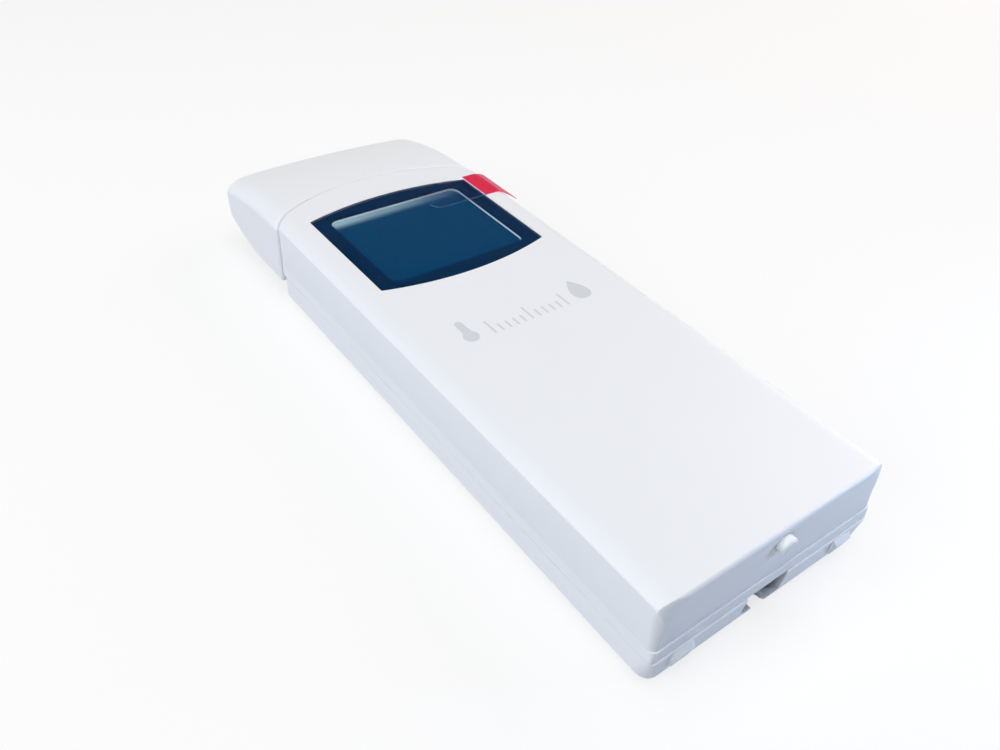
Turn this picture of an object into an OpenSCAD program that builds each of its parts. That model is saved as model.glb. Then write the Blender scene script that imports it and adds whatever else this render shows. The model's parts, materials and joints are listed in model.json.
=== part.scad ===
// Handheld temperature and humidity sensor with a display window and a pull-off sensor cap.
// Millimetres. The flat back lies on Z = 0 with the origin at its middle.
// +Z is the display side, +Y points to the cap, +X is to the right of the display.

/* [Case] */
// Width of the case
case_w = 50; // [48:0.5:56]
// Length of the case from its near end to the cap joint at the sides
case_l = 112.4; // [110:0.2:124]
// Height from the flat back to the top face
case_h = 19; // [18.5:0.25:22]
// Thickness of the side and end walls
wall = 2; // [1.7:0.1:2.2]
// Thickness of the top wall
top_wall = 2; // [1.7:0.1:2.2]
// Thickness of the floor
floor_wall = 1.5; // [1.2:0.1:1.8]
// Height of the seam between the two shells
seam_z = 5.7; // [5.5:0.1:6.1]
// Open line at the seam
seam_gap = 0.2; // [0.1:0.05:0.3]
// Thickness of the tongue that lines up the two shells
tongue_t = 0.8; // [0.6:0.1:1]
// Depth of the tongue below the seam
tongue_h = 1.4; // [1:0.1:2]

/* [Case edges] */
// Radius of the rolled long edges of the top
roll_r = 4; // [3:0.25:5]
// Drop of the rolled edge at the side crease
roll_drop = 1.5; // [1:0.1:2]
// Radius of the long edges of the back
back_r = 2.6; // [1.6:0.1:3]
// Radius of the upper shell's upright corners at the near end
corner_r = 1.2; // [0.8:0.1:2]
// Radius of the lower shell's upright corners at the near end
base_corner_r = 2.6; // [1.4:0.1:3]
// Radius of the top edge of the near end
edge_r = 0.6; // [0.4:0.1:1.2]
// Radius of the bottom edge of the near end
base_edge_r = 1.2; // [0.6:0.1:1.6]

/* [Near end] */
// Height of the upper step on the near end face
step_z = 8.4; // [7.4:0.1:9]
// How far each lower band of the near end stands out
step_out = 0.15; // [0.1:0.05:0.4]
// Width of a lug
lug_w = 4.2; // [3:0.1:6]
// How far a lug stands out of the end face
lug_out = 0.8; // [0.6:0.1:1.2]
// Height of a lug
lug_h = 2.2; // [1.6:0.1:3]
// Distance from a lug's top to the seam
lug_drop = 0.6; // [0.3:0.1:1]
// Rounding of a lug's upright edges
lug_r = 0.5; // [0.2:0.1:0.8]
// Left lug, from the middle
lug_left = 17.4; // [14:0.1:19]
// Right lug, from the middle
lug_right = 19.3; // [14:0.1:20]

/* [Data jack] */
// Width of the plug opening
jack_w = 9.3; // [8:0.1:10.4]
// Depth that the plug goes in
jack_depth = 11; // [9:0.5:13]
// Wall of the jack housing
jack_wall = 1.2; // [0.9:0.1:1.4]
// Width of the latch slot in the floor
slot_w = 3.8; // [3:0.1:5]
// Length of the latch slot from the near end
slot_l = 5; // [4:0.1:7]
// Number of contact wires
contact_n = 6; // [4:1:6]
// Spacing of the contact wires
contact_pitch = 1.27; // [1:0.01:1.4]
// Width of a contact wire
contact_w = 0.5; // [0.4:0.05:0.6]
// Thickness of a contact wire
contact_t = 0.3; // [0.2:0.05:0.4]

/* [Power button] */
// Diameter of the button
button_d = 3.2; // [2.8:0.1:3.6]
// Centre of the button below the top face
button_drop = 2.9; // [2.6:0.1:3.4]
// How far the button stands out
button_out = 0.9; // [0.7:0.1:1.4]
// Travel of the button
button_travel = 0.5; // [0.3:0.1:0.6]
// Radial clearance of the button in its hole
button_clear = 0.08; // [0.05:0.01:0.1]
// Rounding of the button's front edge
button_r = 0.6; // [0.3:0.1:0.8]
// Thickness of the button's flange
flange_t = 1; // [0.8:0.1:1.4]
// Half width of the button's flange
flange_w = 3.2; // [2.6:0.1:4]
// Diameter of the switch plunger
plunger_d = 1.3; // [1:0.1:1.4]
// Width of the push switch
switch_w = 5; // [4:0.1:6]
// Height of the push switch
switch_h = 2.4; // [2:0.1:3]
// Depth of the push switch
switch_l = 3.2; // [2.8:0.1:3.6]
// Thickness of the upright switch board
switch_board_t = 1; // [0.8:0.1:1.2]
// Width of the upright switch board
switch_board_w = 11; // [8:0.5:14]

/* [Window] */
// Width of the window pane
window_w = 38.5; // [37:0.5:40]
// Length of the window pane at its straight sides
window_l = 28.8; // [28:0.2:30]
// Bow of the pane's two curved ends
window_bow = 2.8; // [2:0.1:3.2]
// Distance from the pane's far corners to the cap joint at the sides
window_back = 2.3; // [1.8:0.1:3]
// Thickness of the pane
lens_t = 1.2; // [0.8:0.1:1.4]
// Depth of the pane below the top face
lens_recess = 0.1; // [0.05:0.05:0.2]
// Clearance around the pane
lens_clear = 0.12; // [0.05:0.01:0.2]
// Thickness of the dark mask under the pane
mask_t = 0.25; // [0.15:0.05:0.3]
// Thickness of the ledge that carries the pane
ledge_t = 0.95; // [0.7:0.05:1.2]
// Width of the viewing area
view_w = 31.6; // [30:0.2:32]
// Length of the viewing area
view_l = 26.4; // [25:0.2:26.8]
// Corner radius of the viewing area
view_r = 2; // [1:0.1:3]

/* [Film] */
// Thickness of the clear film on the pane
film_t = 0.12; // [0.1:0.01:0.15]
// Margin of the film inside the pane
film_margin = 0.4; // [0.2:0.1:0.8]
// Thickness of the pull tab
tab_t = 0.2; // [0.15:0.05:0.3]
// Width of the pull tab
tab_w = 9.3; // [7:0.1:10]
// Distance of the tab's far edge from the cap joint at the sides
tab_back = 1.5; // [1:0.1:2.4]
// Left end of the tab, from the middle
tab_left = 6.2; // [3:0.1:12]
// Radius of the tab's bend over the long edge
tab_bend_r = 8; // [7:0.5:12]
// Turn of the tab's bend, in degrees
tab_turn = 25; // [15:1:26]
// Length of the tab's free end past the bend
tab_free = 0.5; // [0.2:0.1:1]
// Extra width of the free end towards the near end
tab_tail = 4; // [2:0.1:6]

/* [Display] */
// Depth of the display glass below the mask
lcd_depth = 1.9; // [1.6:0.1:2.4]
// Thickness of the display glass
lcd_t = 2.2; // [1.8:0.1:2.4]
// Margin of the glass around the viewing area
lcd_margin = 1.5; // [1.2:0.1:1.7]
// Clearance around the glass in its holder
lcd_clear = 0.15; // [0.1:0.05:0.2]
// Wall of the display holder
holder_wall = 1.2; // [1:0.1:1.3]
// Thickness of the backlight plate
backlight_t = 1.5; // [1:0.1:2]
// Width of a contact strip
strip_w = 2; // [1.5:0.1:2.4]
// Clearance between the backlight and a contact strip
strip_clear = 0.3; // [0.2:0.1:0.6]

/* [Boards] */
// Height of the main board's underside
board_z = 7.7; // [7.4:0.1:8]
// Thickness of the main board
board_t = 1.6; // [1.2:0.1:1.8]
// Clearance between the main board and the case bosses
board_side = 0.3; // [0.2:0.1:2]
// Margin of the main board around the display holder
board_margin = 0.5; // [0.3:0.1:0.8]
// Clearance of the main board to the near end wall
board_clear = 0.4; // [0.3:0.1:0.8]
// Clearance between the sensor board and the guard's side walls
sensor_board_side = 1.8; // [1.5:0.1:3.5]
// Thickness of the sensor board
sensor_board_t = 1; // [0.8:0.1:1.2]
// Gap between the two boards
board_gap = 0.5; // [0.3:0.1:0.8]
// Width of the ribbon that joins the boards
ribbon_w = 12; // [8:0.5:16]
// Thickness of the ribbon
ribbon_t = 0.2; // [0.15:0.05:0.3]
// Length of the ribbon on each board
ribbon_lap = 3.5; // [2:0.1:4]
// Side of the sensor chip
chip_w = 4.4; // [3:0.1:6]
// Height of the sensor chip
chip_h = 1.6; // [1:0.1:2]
// Side of the controller chip
controller_w = 12; // [9:0.5:14]
// Height of the controller chip
controller_h = 1.4; // [1:0.1:1.6]

/* [Board components] */
// Side of the coil
coil_w = 6; // [4:0.5:7]
// Height of the coil and of the crystal
coil_h = 3; // [2:0.1:3.4]
// Distance of the coil from the near end
coil_from_end = 22; // [20:0.5:26]
// Distance of the coil and of the crystal from the middle
coil_x = 9; // [7:0.5:11]
// Width of the crystal
crystal_w = 4.5; // [3:0.1:5]
// Length of the crystal
crystal_l = 11; // [8:0.5:12]
// Distance of the crystal from the near end
crystal_from_end = 24; // [20:0.5:28]
// Width of a small capacitor
chip_cap_w = 2.4; // [1.6:0.1:3]
// Length of a small capacitor
chip_cap_l = 1.6; // [0.8:0.1:2]
// Height of a small capacitor
chip_cap_h = 1.4; // [0.6:0.1:1.6]
// Spacing of the small capacitors
chip_cap_pitch = 4; // [3:0.1:5]
// Distance of the small capacitors from the near end
chip_cap_from_end = 46; // [44:0.5:48]
// Distance of the small capacitors from the middle
chip_cap_x = 11; // [9:0.1:12]
// Diameter of a round capacitor
can_d = 5; // [4:0.1:6]
// Height of a round capacitor
can_h = 4; // [3:0.1:4.6]
// Distance of the round capacitors from the far board posts
can_from_post = 5.4; // [5:0.1:8]
// Spacing of the two round capacitors
can_pitch = 10; // [7:0.5:14]
// Middle of the two round capacitors, to the left of the middle
can_offset = 1; // [0:0.5:3]

/* [Cell] */
// Clearance between the cell and the case bosses
cell_side = 1.5; // [1:0.1:3.5]
// Distance from the near board screws to the cell
cell_start = 4.2; // [4:0.1:6]
// Distance from the cell to the far board screws
cell_gap = 3.95; // [2:0.05:10]
// Thickness of the foam pad between the cell and the top
pad_t = 1.9; // [1.4:0.1:2.7]
// Margin of the pad inside the cell's long sides
pad_side = 3; // [1:0.5:5]
// Margin of the pad inside the cell's ends
pad_end = 4; // [1:0.5:8]
// Radius of the cell's long edges
cell_r = 1.6; // [1:0.1:2]
// Diameter of a cell lead
lead_d = 1.1; // [0.8:0.1:1.4]
// Length of a cell lead
lead_l = 2.4; // [2:0.1:3]
// Width of the cell socket
socket_w = 6; // [5:0.1:8]
// Length of the cell socket
socket_l = 4.2; // [3.4:0.1:4.4]
// Height of the cell socket
socket_h = 4.4; // [4:0.1:5]

/* [Sensor guard] */
// Distance from the vented guard to the sides of the case
guard_side = 4; // [3.8:0.1:5]
// Height of the guard's underside
guard_z = 5.9; // [5.8:0.1:6.1]
// Top of the guard below the top face of the case
guard_drop = 3.7; // [3.5:0.1:4]
// Length of the guard past the joint at the sides
guard_l = 16.8; // [15.6:0.2:17.2]
// Wall of the guard
guard_wall = 1.2; // [1:0.1:1.4]
// Clearance of the guard in the case
guard_clear = 0.15; // [0.1:0.05:0.25]
// Thickness of the guard's curved flange
guard_flange_t = 1.4; // [1:0.1:1.8]
// Number of vent slots
vent_n = 9; // [5:2:9]
// Width of a vent slot
vent_w = 1.6; // [1:0.1:2]
// Spacing of the vent slots
vent_pitch = 3.6; // [3:0.1:4]
// Width of the rubber ring along the guard
ring_l = 2.2; // [1.6:0.1:2.6]
// Clearance between the ring and the cap
ring_clear = 0.15; // [0.1:0.05:0.2]

/* [Cap] */
// Length of the cap past the joint at the sides
cap_l = 33.7; // [33:0.1:37]
// How far the cap stands out past the case on each side
cap_over = 0.1; // [0:0.1:0.4]
// Wall of the cap
cap_wall = 2; // [1.6:0.1:2]
// Height of the cap's underside
cap_z = 2.6; // [2.2:0.1:3]
// Bow of the joint between the case and the cap
joint_bow = 9; // [8.5:0.1:9.5]
// Gap between the case and the cap
joint_gap = 1.1; // [0.6:0.05:1.3]
// Lean of the case's far end, in degrees
joint_lean = 2; // [1:0.1:2.4]
// Radius of the crown along the cap's top
crown_r = 81; // [76:1:95]
// Start of the crown, from the joint at the sides
crown_start = 5; // [4:0.1:7]
// Radius of the upswept underside
keel_r = 36; // [34:0.5:42]
// Start of the upsweep, from the joint at the sides
keel_start = 11.8; // [11:0.1:14]
// Bow of the cap's far edge
nose_bow = 4.7; // [4:0.1:5.4]
// Radius of the cap's far corners, seen from above
nose_corner_r = 2.2; // [2:0.1:3.4]
// Radius of the cap's rolled long edges
cap_roll_r = 5; // [4.6:0.1:6]
// Drop of the cap's rolled edge at the side crease
cap_roll_drop = 2.2; // [1.4:0.1:2.4]
// Radius of the cap's lower edges
cap_edge_r = 1; // [0.6:0.1:2]

/* [Fasteners] */
// Diameter of a case screw's head
case_head_d = 4; // [3.6:0.1:4]
// Height of a case screw's head
case_head_h = 1.8; // [1.4:0.1:2]
// Diameter of a case screw's shank
case_shank_d = 2.2; // [2:0.1:2.4]
// Length of a case screw's shank
case_shank_l = 9; // [7:0.5:10]
// Depth of a case screw's head below the back
case_head_recess = 1.2; // [0.8:0.1:1.4]
// Radius of a case screw boss
boss_r = 2.9; // [2.7:0.1:3]
// Distance of the near case screws from the near end
boss_from_end = 10; // [9:0.5:12]
// Distance of the other case screws from the window
boss_from_window = 8; // [7.5:0.5:9]
// Diameter of a board screw's head
board_head_d = 3.6; // [3:0.1:3.8]
// Height of a board screw's head
board_head_h = 1.2; // [1:0.1:1.4]
// Diameter of a board screw's shank
board_shank_d = 1.8; // [1.6:0.1:2]
// Length of a board screw's shank
board_shank_l = 5; // [4:0.5:5.5]
// Radius of a board post
post_r = 2.4; // [2:0.1:2.6]
// Distance of the board posts from the board's long edges
post_side = 5.2; // [4.2:0.1:6.2]
// Distance of the near board posts from the near end
post_from_end = 12; // [11.5:0.5:13]
// Clearance of a screw in its hole
screw_clear = 0.06; // [0.03:0.01:0.1]

/* [Hidden] */
round_fn = 64;
wide_fn = 128;
eps = 0.02;
past = 2;

case_white = "#e9ecef";
navy = "#12304a";
board_green = "#1f6b46";
chip_black = "#26282b";
metal = "#c9ccd0";
gold = "#d8b45a";

half_w = case_w / 2;
near_y = -case_l / 2;
joint_y = case_l / 2;
joint_r = (half_w * half_w + joint_bow * joint_bow) / (2 * joint_bow);
joint_cy = joint_y + joint_bow - joint_r;
far_in_r = joint_r - wall;
roll_w = sqrt(roll_r * roll_r - (roll_r - roll_drop) * (roll_r - roll_drop));
upper_end_y = near_y + 2 * step_out;
band_end_y = near_y + step_out;
inner_y = upper_end_y + wall;
inner_w = case_w - 2 * wall;
inner_top = case_h - top_wall;
lip_clear = 0.1;
boss_in = 0.3;
post_gap = 1.6;
tongue_end = 12;
rib_in = 9;
rib_w = 1.6;

window_y = joint_y - window_back - window_l / 2;
window_r = (window_w * window_w / 4 + window_bow * window_bow) / (2 * window_bow);
lens_top = case_h - lens_recess;
mask_top = lens_top - lens_t;
ledge_top = mask_top - mask_t;
ledge_bottom = ledge_top - ledge_t;
frame_margin = 1.2;

lcd_w = view_w + 2 * lcd_margin;
lcd_l = view_l + 2 * lcd_margin;
lcd_top = ledge_top - lcd_depth;
lcd_bottom = lcd_top - lcd_t;
holder_w = lcd_w + 2 * (lcd_clear + holder_wall);
holder_l = lcd_l + 2 * (lcd_clear + holder_wall);
holder_y0 = window_y - holder_l / 2;

board_top = board_z + board_t;
board_y0 = inner_y + board_clear;
board_far_r = far_in_r - guard_flange_t - 2 * guard_clear - board_gap;
sensor_board_y0 = joint_cy + board_far_r + board_gap;

boss_x = half_w - wall - boss_r + boss_in;
boss_ys = [near_y + boss_from_end, window_y - window_l / 2 - window_bow - boss_from_window];
board_w = 2 * (boss_x - boss_r - board_side);
post_x = board_w / 2 - post_side;
post_ys = [near_y + post_from_end, holder_y0 - board_margin - board_head_d / 2 - post_gap];

button_z = case_h - button_drop;
button_tip_y = upper_end_y - button_out;
button_flange_y = inner_y + 0.2;
button_back_y = button_flange_y + flange_t;
switch_y0 = button_back_y + button_travel + 0.4;
switch_top = inner_top - 0.1;
switch_z = switch_top - switch_h / 2;
plunger_l = switch_y0 - button_back_y + 1.8;
switch_back_y = switch_y0 + switch_l;

jack_y0 = inner_y + 0.1;
jack_back_y = jack_y0 + jack_depth;
jack_roof_z = board_z - jack_wall;
contact_z = seam_z + 0.25;
contact_front_y = jack_y0 + 2;
contact_back_y = jack_back_y - 0.6;

cell_w = 2 * (boss_x - boss_r - cell_side);
cell_y0 = post_ys[0] + board_head_d / 2 + cell_start;
cell_l = post_ys[1] - board_head_d / 2 - cell_gap - cell_y0;
cell_z = board_top;
cell_top = inner_top - pad_t;
cell_t = cell_top - cell_z;

guard_w = case_w - 2 * guard_side;
sensor_board_w = guard_w - 2 * (guard_wall + sensor_board_side);
guard_top = case_h - guard_drop;
guard_h = guard_top - guard_z;
guard_y1 = joint_y + guard_l;
guard_far_r = far_in_r - guard_clear;
guard_lip = 1;
ring_y0 = joint_y + joint_bow + 1.4;

cap_half = half_w + cap_over;
cap_tip_y = joint_y + cap_l;
crown_y = joint_y + crown_start;
crown_cz = case_h - crown_r;
keel_y = joint_y + keel_start;
nose_r = (cap_half * cap_half + nose_bow * nose_bow) / (2 * nose_bow);
ring_top_y = ring_y0 + ring_l;
ring_past = max(ring_top_y - crown_y, 0);
ring_crown_drop = crown_r - sqrt(crown_r * crown_r - ring_past * ring_past);
ring_top = case_h - cap_wall - ring_crown_drop - ring_clear;
ring_bottom = cap_z + cap_wall + ring_clear;
ring_half = cap_half - cap_wall - ring_clear;

// Extrudes an outline drawn in Y and Z along X, centred
module along_x(width) {
  rotate([90, 0, 90]) linear_extrude(width, center = true) children();
}

// Extrudes an outline drawn in X and Z along +Y from y0
module along_y(y0, length) {
  translate([0, y0 + length, 0]) rotate([90, 0, 0]) linear_extrude(length) children();
}

// Box centred on X, from y0 and z0
module block(width, y0, length, z0, height, x0 = 0) {
  translate([x0 - width / 2, y0, z0]) cube([width, length, height]);
}

// Outline with rounded corners, centred
module rounded(width, length, radius) {
  square([width - 2 * radius, length], center = true);
  square([width, length - 2 * radius], center = true);
  for (sx = [-1, 1], sy = [-1, 1])
    translate([sx * (width / 2 - radius), sy * (length / 2 - radius)]) circle(r = radius, $fn = round_fn);
}

// Section of a housing: rolled top edges and rounded bottom edges
module housing_section(half, bottom, top, roll, drop, base_r) {
  reach = sqrt(roll * roll - (roll - drop) * (roll - drop));
  intersection() {
    union() {
      translate([-half, bottom]) square([2 * half, top - roll - bottom]);
      translate([-half + reach, bottom]) square([2 * (half - reach), top - bottom]);
      for (s = [-1, 1]) translate([s * (half - reach), top - roll]) circle(r = roll, $fn = round_fn);
    }
    union() {
      translate([-half, bottom + base_r]) square([2 * half, top - bottom]);
      translate([-half + base_r, bottom]) square([2 * (half - base_r), top - bottom]);
      for (s = [-1, 1])
        translate([s * (half - base_r), bottom + base_r]) circle(r = base_r, $fn = round_fn);
    }
  }
}

// Everything short of the bowed far end, with the given setback of its surface
module far_limit(setback, lean) {
  block(case_w + 4, near_y - 5, joint_cy - near_y + 5, -past, case_h + 2 * past);
  translate([0, joint_cy, case_h]) rotate([-lean, 0, 0]) translate([0, 0, -case_h - past])
    cylinder(r = joint_r - setback, h = case_h + 2 * past, $fn = wide_fn);
}

// Outer form of the closed case with its near end face at end_y and the given upright corner radius
module case_form(end_y, corner) {
  reach = joint_y + joint_bow + past - end_y;
  intersection() {
    along_y(end_y, reach) housing_section(half_w, 0, case_h, roll_r, roll_drop, back_r);
    linear_extrude(case_h) union() {
      translate([-half_w, end_y + corner]) square([case_w, reach]);
      translate([-half_w + corner, end_y]) square([case_w - 2 * corner, reach]);
      for (s = [-1, 1])
        translate([s * (half_w - corner), end_y + corner]) circle(r = corner, $fn = round_fn);
    }
    along_x(case_w + past) union() {
      translate([end_y + edge_r, case_h / 2]) square([reach, case_h / 2]);
      translate([end_y + base_edge_r, 0]) square([reach, case_h / 2]);
      translate([end_y, base_edge_r]) square([reach, case_h - edge_r - base_edge_r]);
      translate([end_y + edge_r, case_h - edge_r]) circle(r = edge_r, $fn = round_fn);
      translate([end_y + base_edge_r, base_edge_r]) circle(r = base_edge_r, $fn = round_fn);
    }
    far_limit(0, joint_lean);
  }
}

// Hollow of the case from z0 up to z1
module case_hollow(z0, z1) {
  intersection() {
    block(inner_w, inner_y, joint_y + joint_bow - inner_y, z0, z1 - z0);
    far_limit(wall, 0);
  }
}

// Outline of the pane grown by a margin
module window_outline(margin) {
  intersection() {
    translate([0, window_y])
      square([window_w + 2 * margin, window_l + 2 * (window_bow + margin)], center = true);
    intersection_for(s = [-1, 1])
      translate([0, window_y + s * (window_l / 2 + window_bow - window_r)])
        circle(r = window_r + margin, $fn = wide_fn);
  }
}

// Opening that the guard passes through
module guard_opening() {
  block(guard_w + 2 * guard_clear, joint_cy, joint_r + past, guard_z - guard_clear,
        guard_h + 2 * guard_clear);
}

// Stretches of the tongue along one side: start and end
tongue_runs = [
  [boss_ys[0] + boss_r + 1, boss_ys[1] - boss_r - 1],
  [boss_ys[1] + boss_r + 1, joint_y - tongue_end]
];

module upper_shell() {
  tongue_x = half_w - wall + tongue_t / 2;
  color(case_white) {
    difference() {
      union() {
        difference() {
          union() {
            intersection() {
              case_form(upper_end_y, corner_r);
              block(case_w + past, near_y - past, case_l + joint_bow + 2 * past, step_z, case_h);
            }
            intersection() {
              case_form(band_end_y, base_corner_r);
              block(case_w + past, near_y - past, case_l + joint_bow + 2 * past, seam_z + seam_gap,
                    step_z - seam_z - seam_gap);
            }
          }
          case_hollow(-past, inner_top);
        }
        intersection() {
          translate([0, 0, ledge_bottom]) linear_extrude(inner_top - ledge_bottom + eps)
            window_outline(frame_margin);
          case_hollow(0, inner_top + eps);
        }
        intersection() {
          for (sx = [-1, 1], y = boss_ys)
            translate([sx * boss_x, y, seam_z])
              cylinder(r = boss_r, h = inner_top - seam_z + eps, $fn = round_fn);
          block(inner_w + eps, near_y, case_l, 0, case_h);
        }
        for (sx = [-1, 1], run = tongue_runs)
          block(tongue_t, run[0], run[1] - run[0], seam_z - tongue_h, tongue_h + seam_gap + eps,
                x0 = sx * tongue_x);
      }
      translate([0, 0, ledge_top]) linear_extrude(case_h) window_outline(lens_clear);
      translate([0, window_y, ledge_bottom - past]) linear_extrude(case_h) rounded(view_w, view_l, view_r);
      translate([0, near_y - past, button_z]) rotate([-90, 0, 0])
        cylinder(d = button_d + 2 * button_clear, h = button_back_y + button_travel - near_y + past,
                 $fn = round_fn);
      guard_opening();
      for (sx = [-1, 1], y = boss_ys)
        translate([sx * boss_x, y, seam_z - eps])
          cylinder(d = case_shank_d + 2 * screw_clear,
                   h = case_head_recess + case_head_h + case_shank_l - seam_z + 0.6, $fn = round_fn);
    }
  }
}

// One lug on the near end face
module lug(x) {
  height = min(lug_h, seam_z - lug_drop - 1);
  translate([x, near_y, seam_z - lug_drop - height]) linear_extrude(height)
    intersection() {
      rounded(lug_w, 2 * lug_out, lug_r);
      translate([-lug_w, -2 * lug_out]) square([2 * lug_w, 2 * lug_out + eps]);
    }
}

module lower_shell() {
  rebate = tongue_t + lip_clear;
  rib_x = guard_w / 2 - rib_in;
  rib_r = guard_far_r - guard_flange_t - guard_clear;
  rib_y = joint_cy + sqrt(rib_r * rib_r - pow(rib_x + rib_w / 2, 2)) - 2.4;
  color(case_white) {
    difference() {
      union() {
        difference() {
          intersection() {
            case_form(near_y, base_corner_r);
            block(case_w + past, near_y - past, case_l + joint_bow + 2 * past, -past, seam_z + past);
          }
          case_hollow(floor_wall, case_h);
        }
        intersection() {
          for (sx = [-1, 1], y = boss_ys)
            translate([sx * boss_x, y, floor_wall - eps])
              cylinder(r = boss_r, h = seam_z - floor_wall + eps, $fn = round_fn);
          block(inner_w + eps, near_y, case_l, 0, case_h);
        }
        for (sx = [-1, 1], y = post_ys)
          translate([sx * post_x, y, floor_wall - eps])
            cylinder(r = post_r, h = board_z - floor_wall + eps, $fn = round_fn);
        intersection() {
          for (sx = [-1, 1])
            block(rib_w, rib_y, 4, floor_wall - eps, board_z - floor_wall - 0.6, x0 = sx * rib_x);
          translate([0, joint_cy, 0]) cylinder(r = rib_r, h = case_h, $fn = wide_fn);
        }
        intersection() {
          for (sx = [-1, 1])
            block(rib_w, rib_y, 8, floor_wall - eps, guard_z - guard_lip - floor_wall + eps,
                  x0 = sx * rib_x);
          translate([0, joint_cy, 0]) cylinder(r = far_in_r + 0.3, h = case_h, $fn = wide_fn);
        }
        for (x = [-lug_left, lug_right]) lug(x);
      }
      difference() {
        block(case_w + 2 * past, near_y - past, case_l + joint_bow + 2 * past, seam_z, case_h);
        for (sx = [-1, 1], y = post_ys)
          translate([sx * post_x, y, 0]) cylinder(r = post_r, h = board_z, $fn = round_fn);
        for (sx = [-1, 1])
          block(rib_w, joint_cy, joint_r, 0, board_z, x0 = sx * rib_x);
      }
      for (sx = [-1, 1], run = tongue_runs)
        block(rebate + eps, run[0] - lip_clear, run[1] - run[0] + 2 * lip_clear,
              seam_z - tongue_h - lip_clear, case_h, x0 = sx * (half_w - wall + (rebate - eps) / 2));
      block(jack_w, near_y - past, inner_y - near_y + past + eps, floor_wall, case_h);
      latch_slot();
      guard_opening();
      for (sx = [-1, 1], y = boss_ys) translate([sx * boss_x, y, 0]) {
        translate([0, 0, -past])
          cylinder(d = case_head_d + 0.4, h = past + case_head_recess + case_head_h, $fn = round_fn);
        cylinder(d = case_shank_d + 2 * screw_clear, h = case_h, $fn = round_fn);
      }
      for (sx = [-1, 1], y = post_ys)
        translate([sx * post_x, y, board_top - board_shank_l - 0.4])
          cylinder(d = board_shank_d + 2 * screw_clear, h = case_h, $fn = round_fn);
    }
  }
}

// Round-ended latch slot through the floor at the near end
module latch_slot() {
  translate([0, 0, -past]) linear_extrude(floor_wall + 2 * past) {
    translate([-slot_w / 2, near_y - past]) square([slot_w, past + slot_l - slot_w / 2]);
    translate([0, near_y + slot_l - slot_w / 2]) circle(d = slot_w, $fn = round_fn);
  }
}

// Takes the cap's two far corners down to a radius, seen from above
module nose_corners(inset) {
  half = cap_half - inset;
  big_r = nose_r - inset;
  big_y = cap_tip_y - nose_r;
  small_r = max(nose_corner_r - inset, 0.4);
  small_y = big_y + sqrt(pow(big_r - small_r, 2) - pow(half - small_r, 2)) + eps;
  meet_x = (half - small_r) * big_r / (big_r - small_r);
  for (s = [-1, 1]) linear_extrude(2 * case_h) difference() {
    translate([s > 0 ? meet_x : -meet_x - small_r - past, small_y])
      square([small_r + past, 2 * small_r + past]);
    translate([s * (half - small_r), small_y]) circle(r = small_r, $fn = round_fn);
  }
}

// Form of the cap with its surface set back by inset
module cap_form(inset) {
  half = cap_half - inset;
  bottom = cap_z + inset;
  top_r = crown_r - inset;
  base_r = max(cap_edge_r - inset, 0.5);
  roll = max(cap_roll_r - inset, cap_roll_drop + 0.2);
  reach = sqrt(roll * roll - (roll - cap_roll_drop) * (roll - cap_roll_drop));
  difference() {
    intersection() {
      union() {
        along_y(joint_y - past, crown_start + past)
          housing_section(half, bottom, case_h - inset, roll, cap_roll_drop, base_r);
        intersection() {
          translate([0, crown_y, crown_cz]) rotate([0, 90, 0])
          rotate_extrude($fn = wide_fn * 2) intersection() {
            union() {
              translate([crown_r / 2, -half]) square([top_r - roll - crown_r / 2, 2 * half]);
              translate([crown_r / 2, -half + reach]) square([top_r - crown_r / 2, 2 * (half - reach)]);
              for (s = [-1, 1])
                translate([top_r - roll, s * (half - reach)]) circle(r = roll, $fn = round_fn);
            }
            translate([0, -half]) square([crown_r, 2 * half]);
          }
          along_y(crown_y, cap_l) housing_section(half, bottom, case_h + past, 1, 0.5, base_r);
        }
      }
      along_x(case_w + 2 * past) {
        translate([joint_y - 2 * past, bottom]) square([keel_y - joint_y + 2 * past, case_h]);
        translate([keel_y, cap_z + keel_r]) circle(r = keel_r - inset, $fn = wide_fn * 2);
      }
      translate([0, cap_tip_y - nose_r, 0]) cylinder(r = nose_r - inset, h = case_h, $fn = wide_fn * 2);
    }
    nose_corners(inset);
  }
}

module sensor_cap() {
  color(case_white) difference() {
    cap_form(0);
    cap_form(cap_wall);
    translate([0, joint_cy, -past]) cylinder(r = joint_r + joint_gap, h = case_h + 2 * past, $fn = wide_fn);
  }
}

module window_lens() {
  color("#dfe9ee", 0.35) translate([0, 0, mask_top]) linear_extrude(lens_t) window_outline(0);
}

module lens_mask() {
  color(navy) translate([0, 0, ledge_top]) linear_extrude(mask_t) difference() {
    window_outline(-0.1);
    translate([0, window_y]) rounded(view_w, view_l, view_r);
  }
}

module display_film() {
  color("#e8f0f4", 0.3) translate([0, 0, lens_top]) linear_extrude(film_t) window_outline(-film_margin);
}

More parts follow.
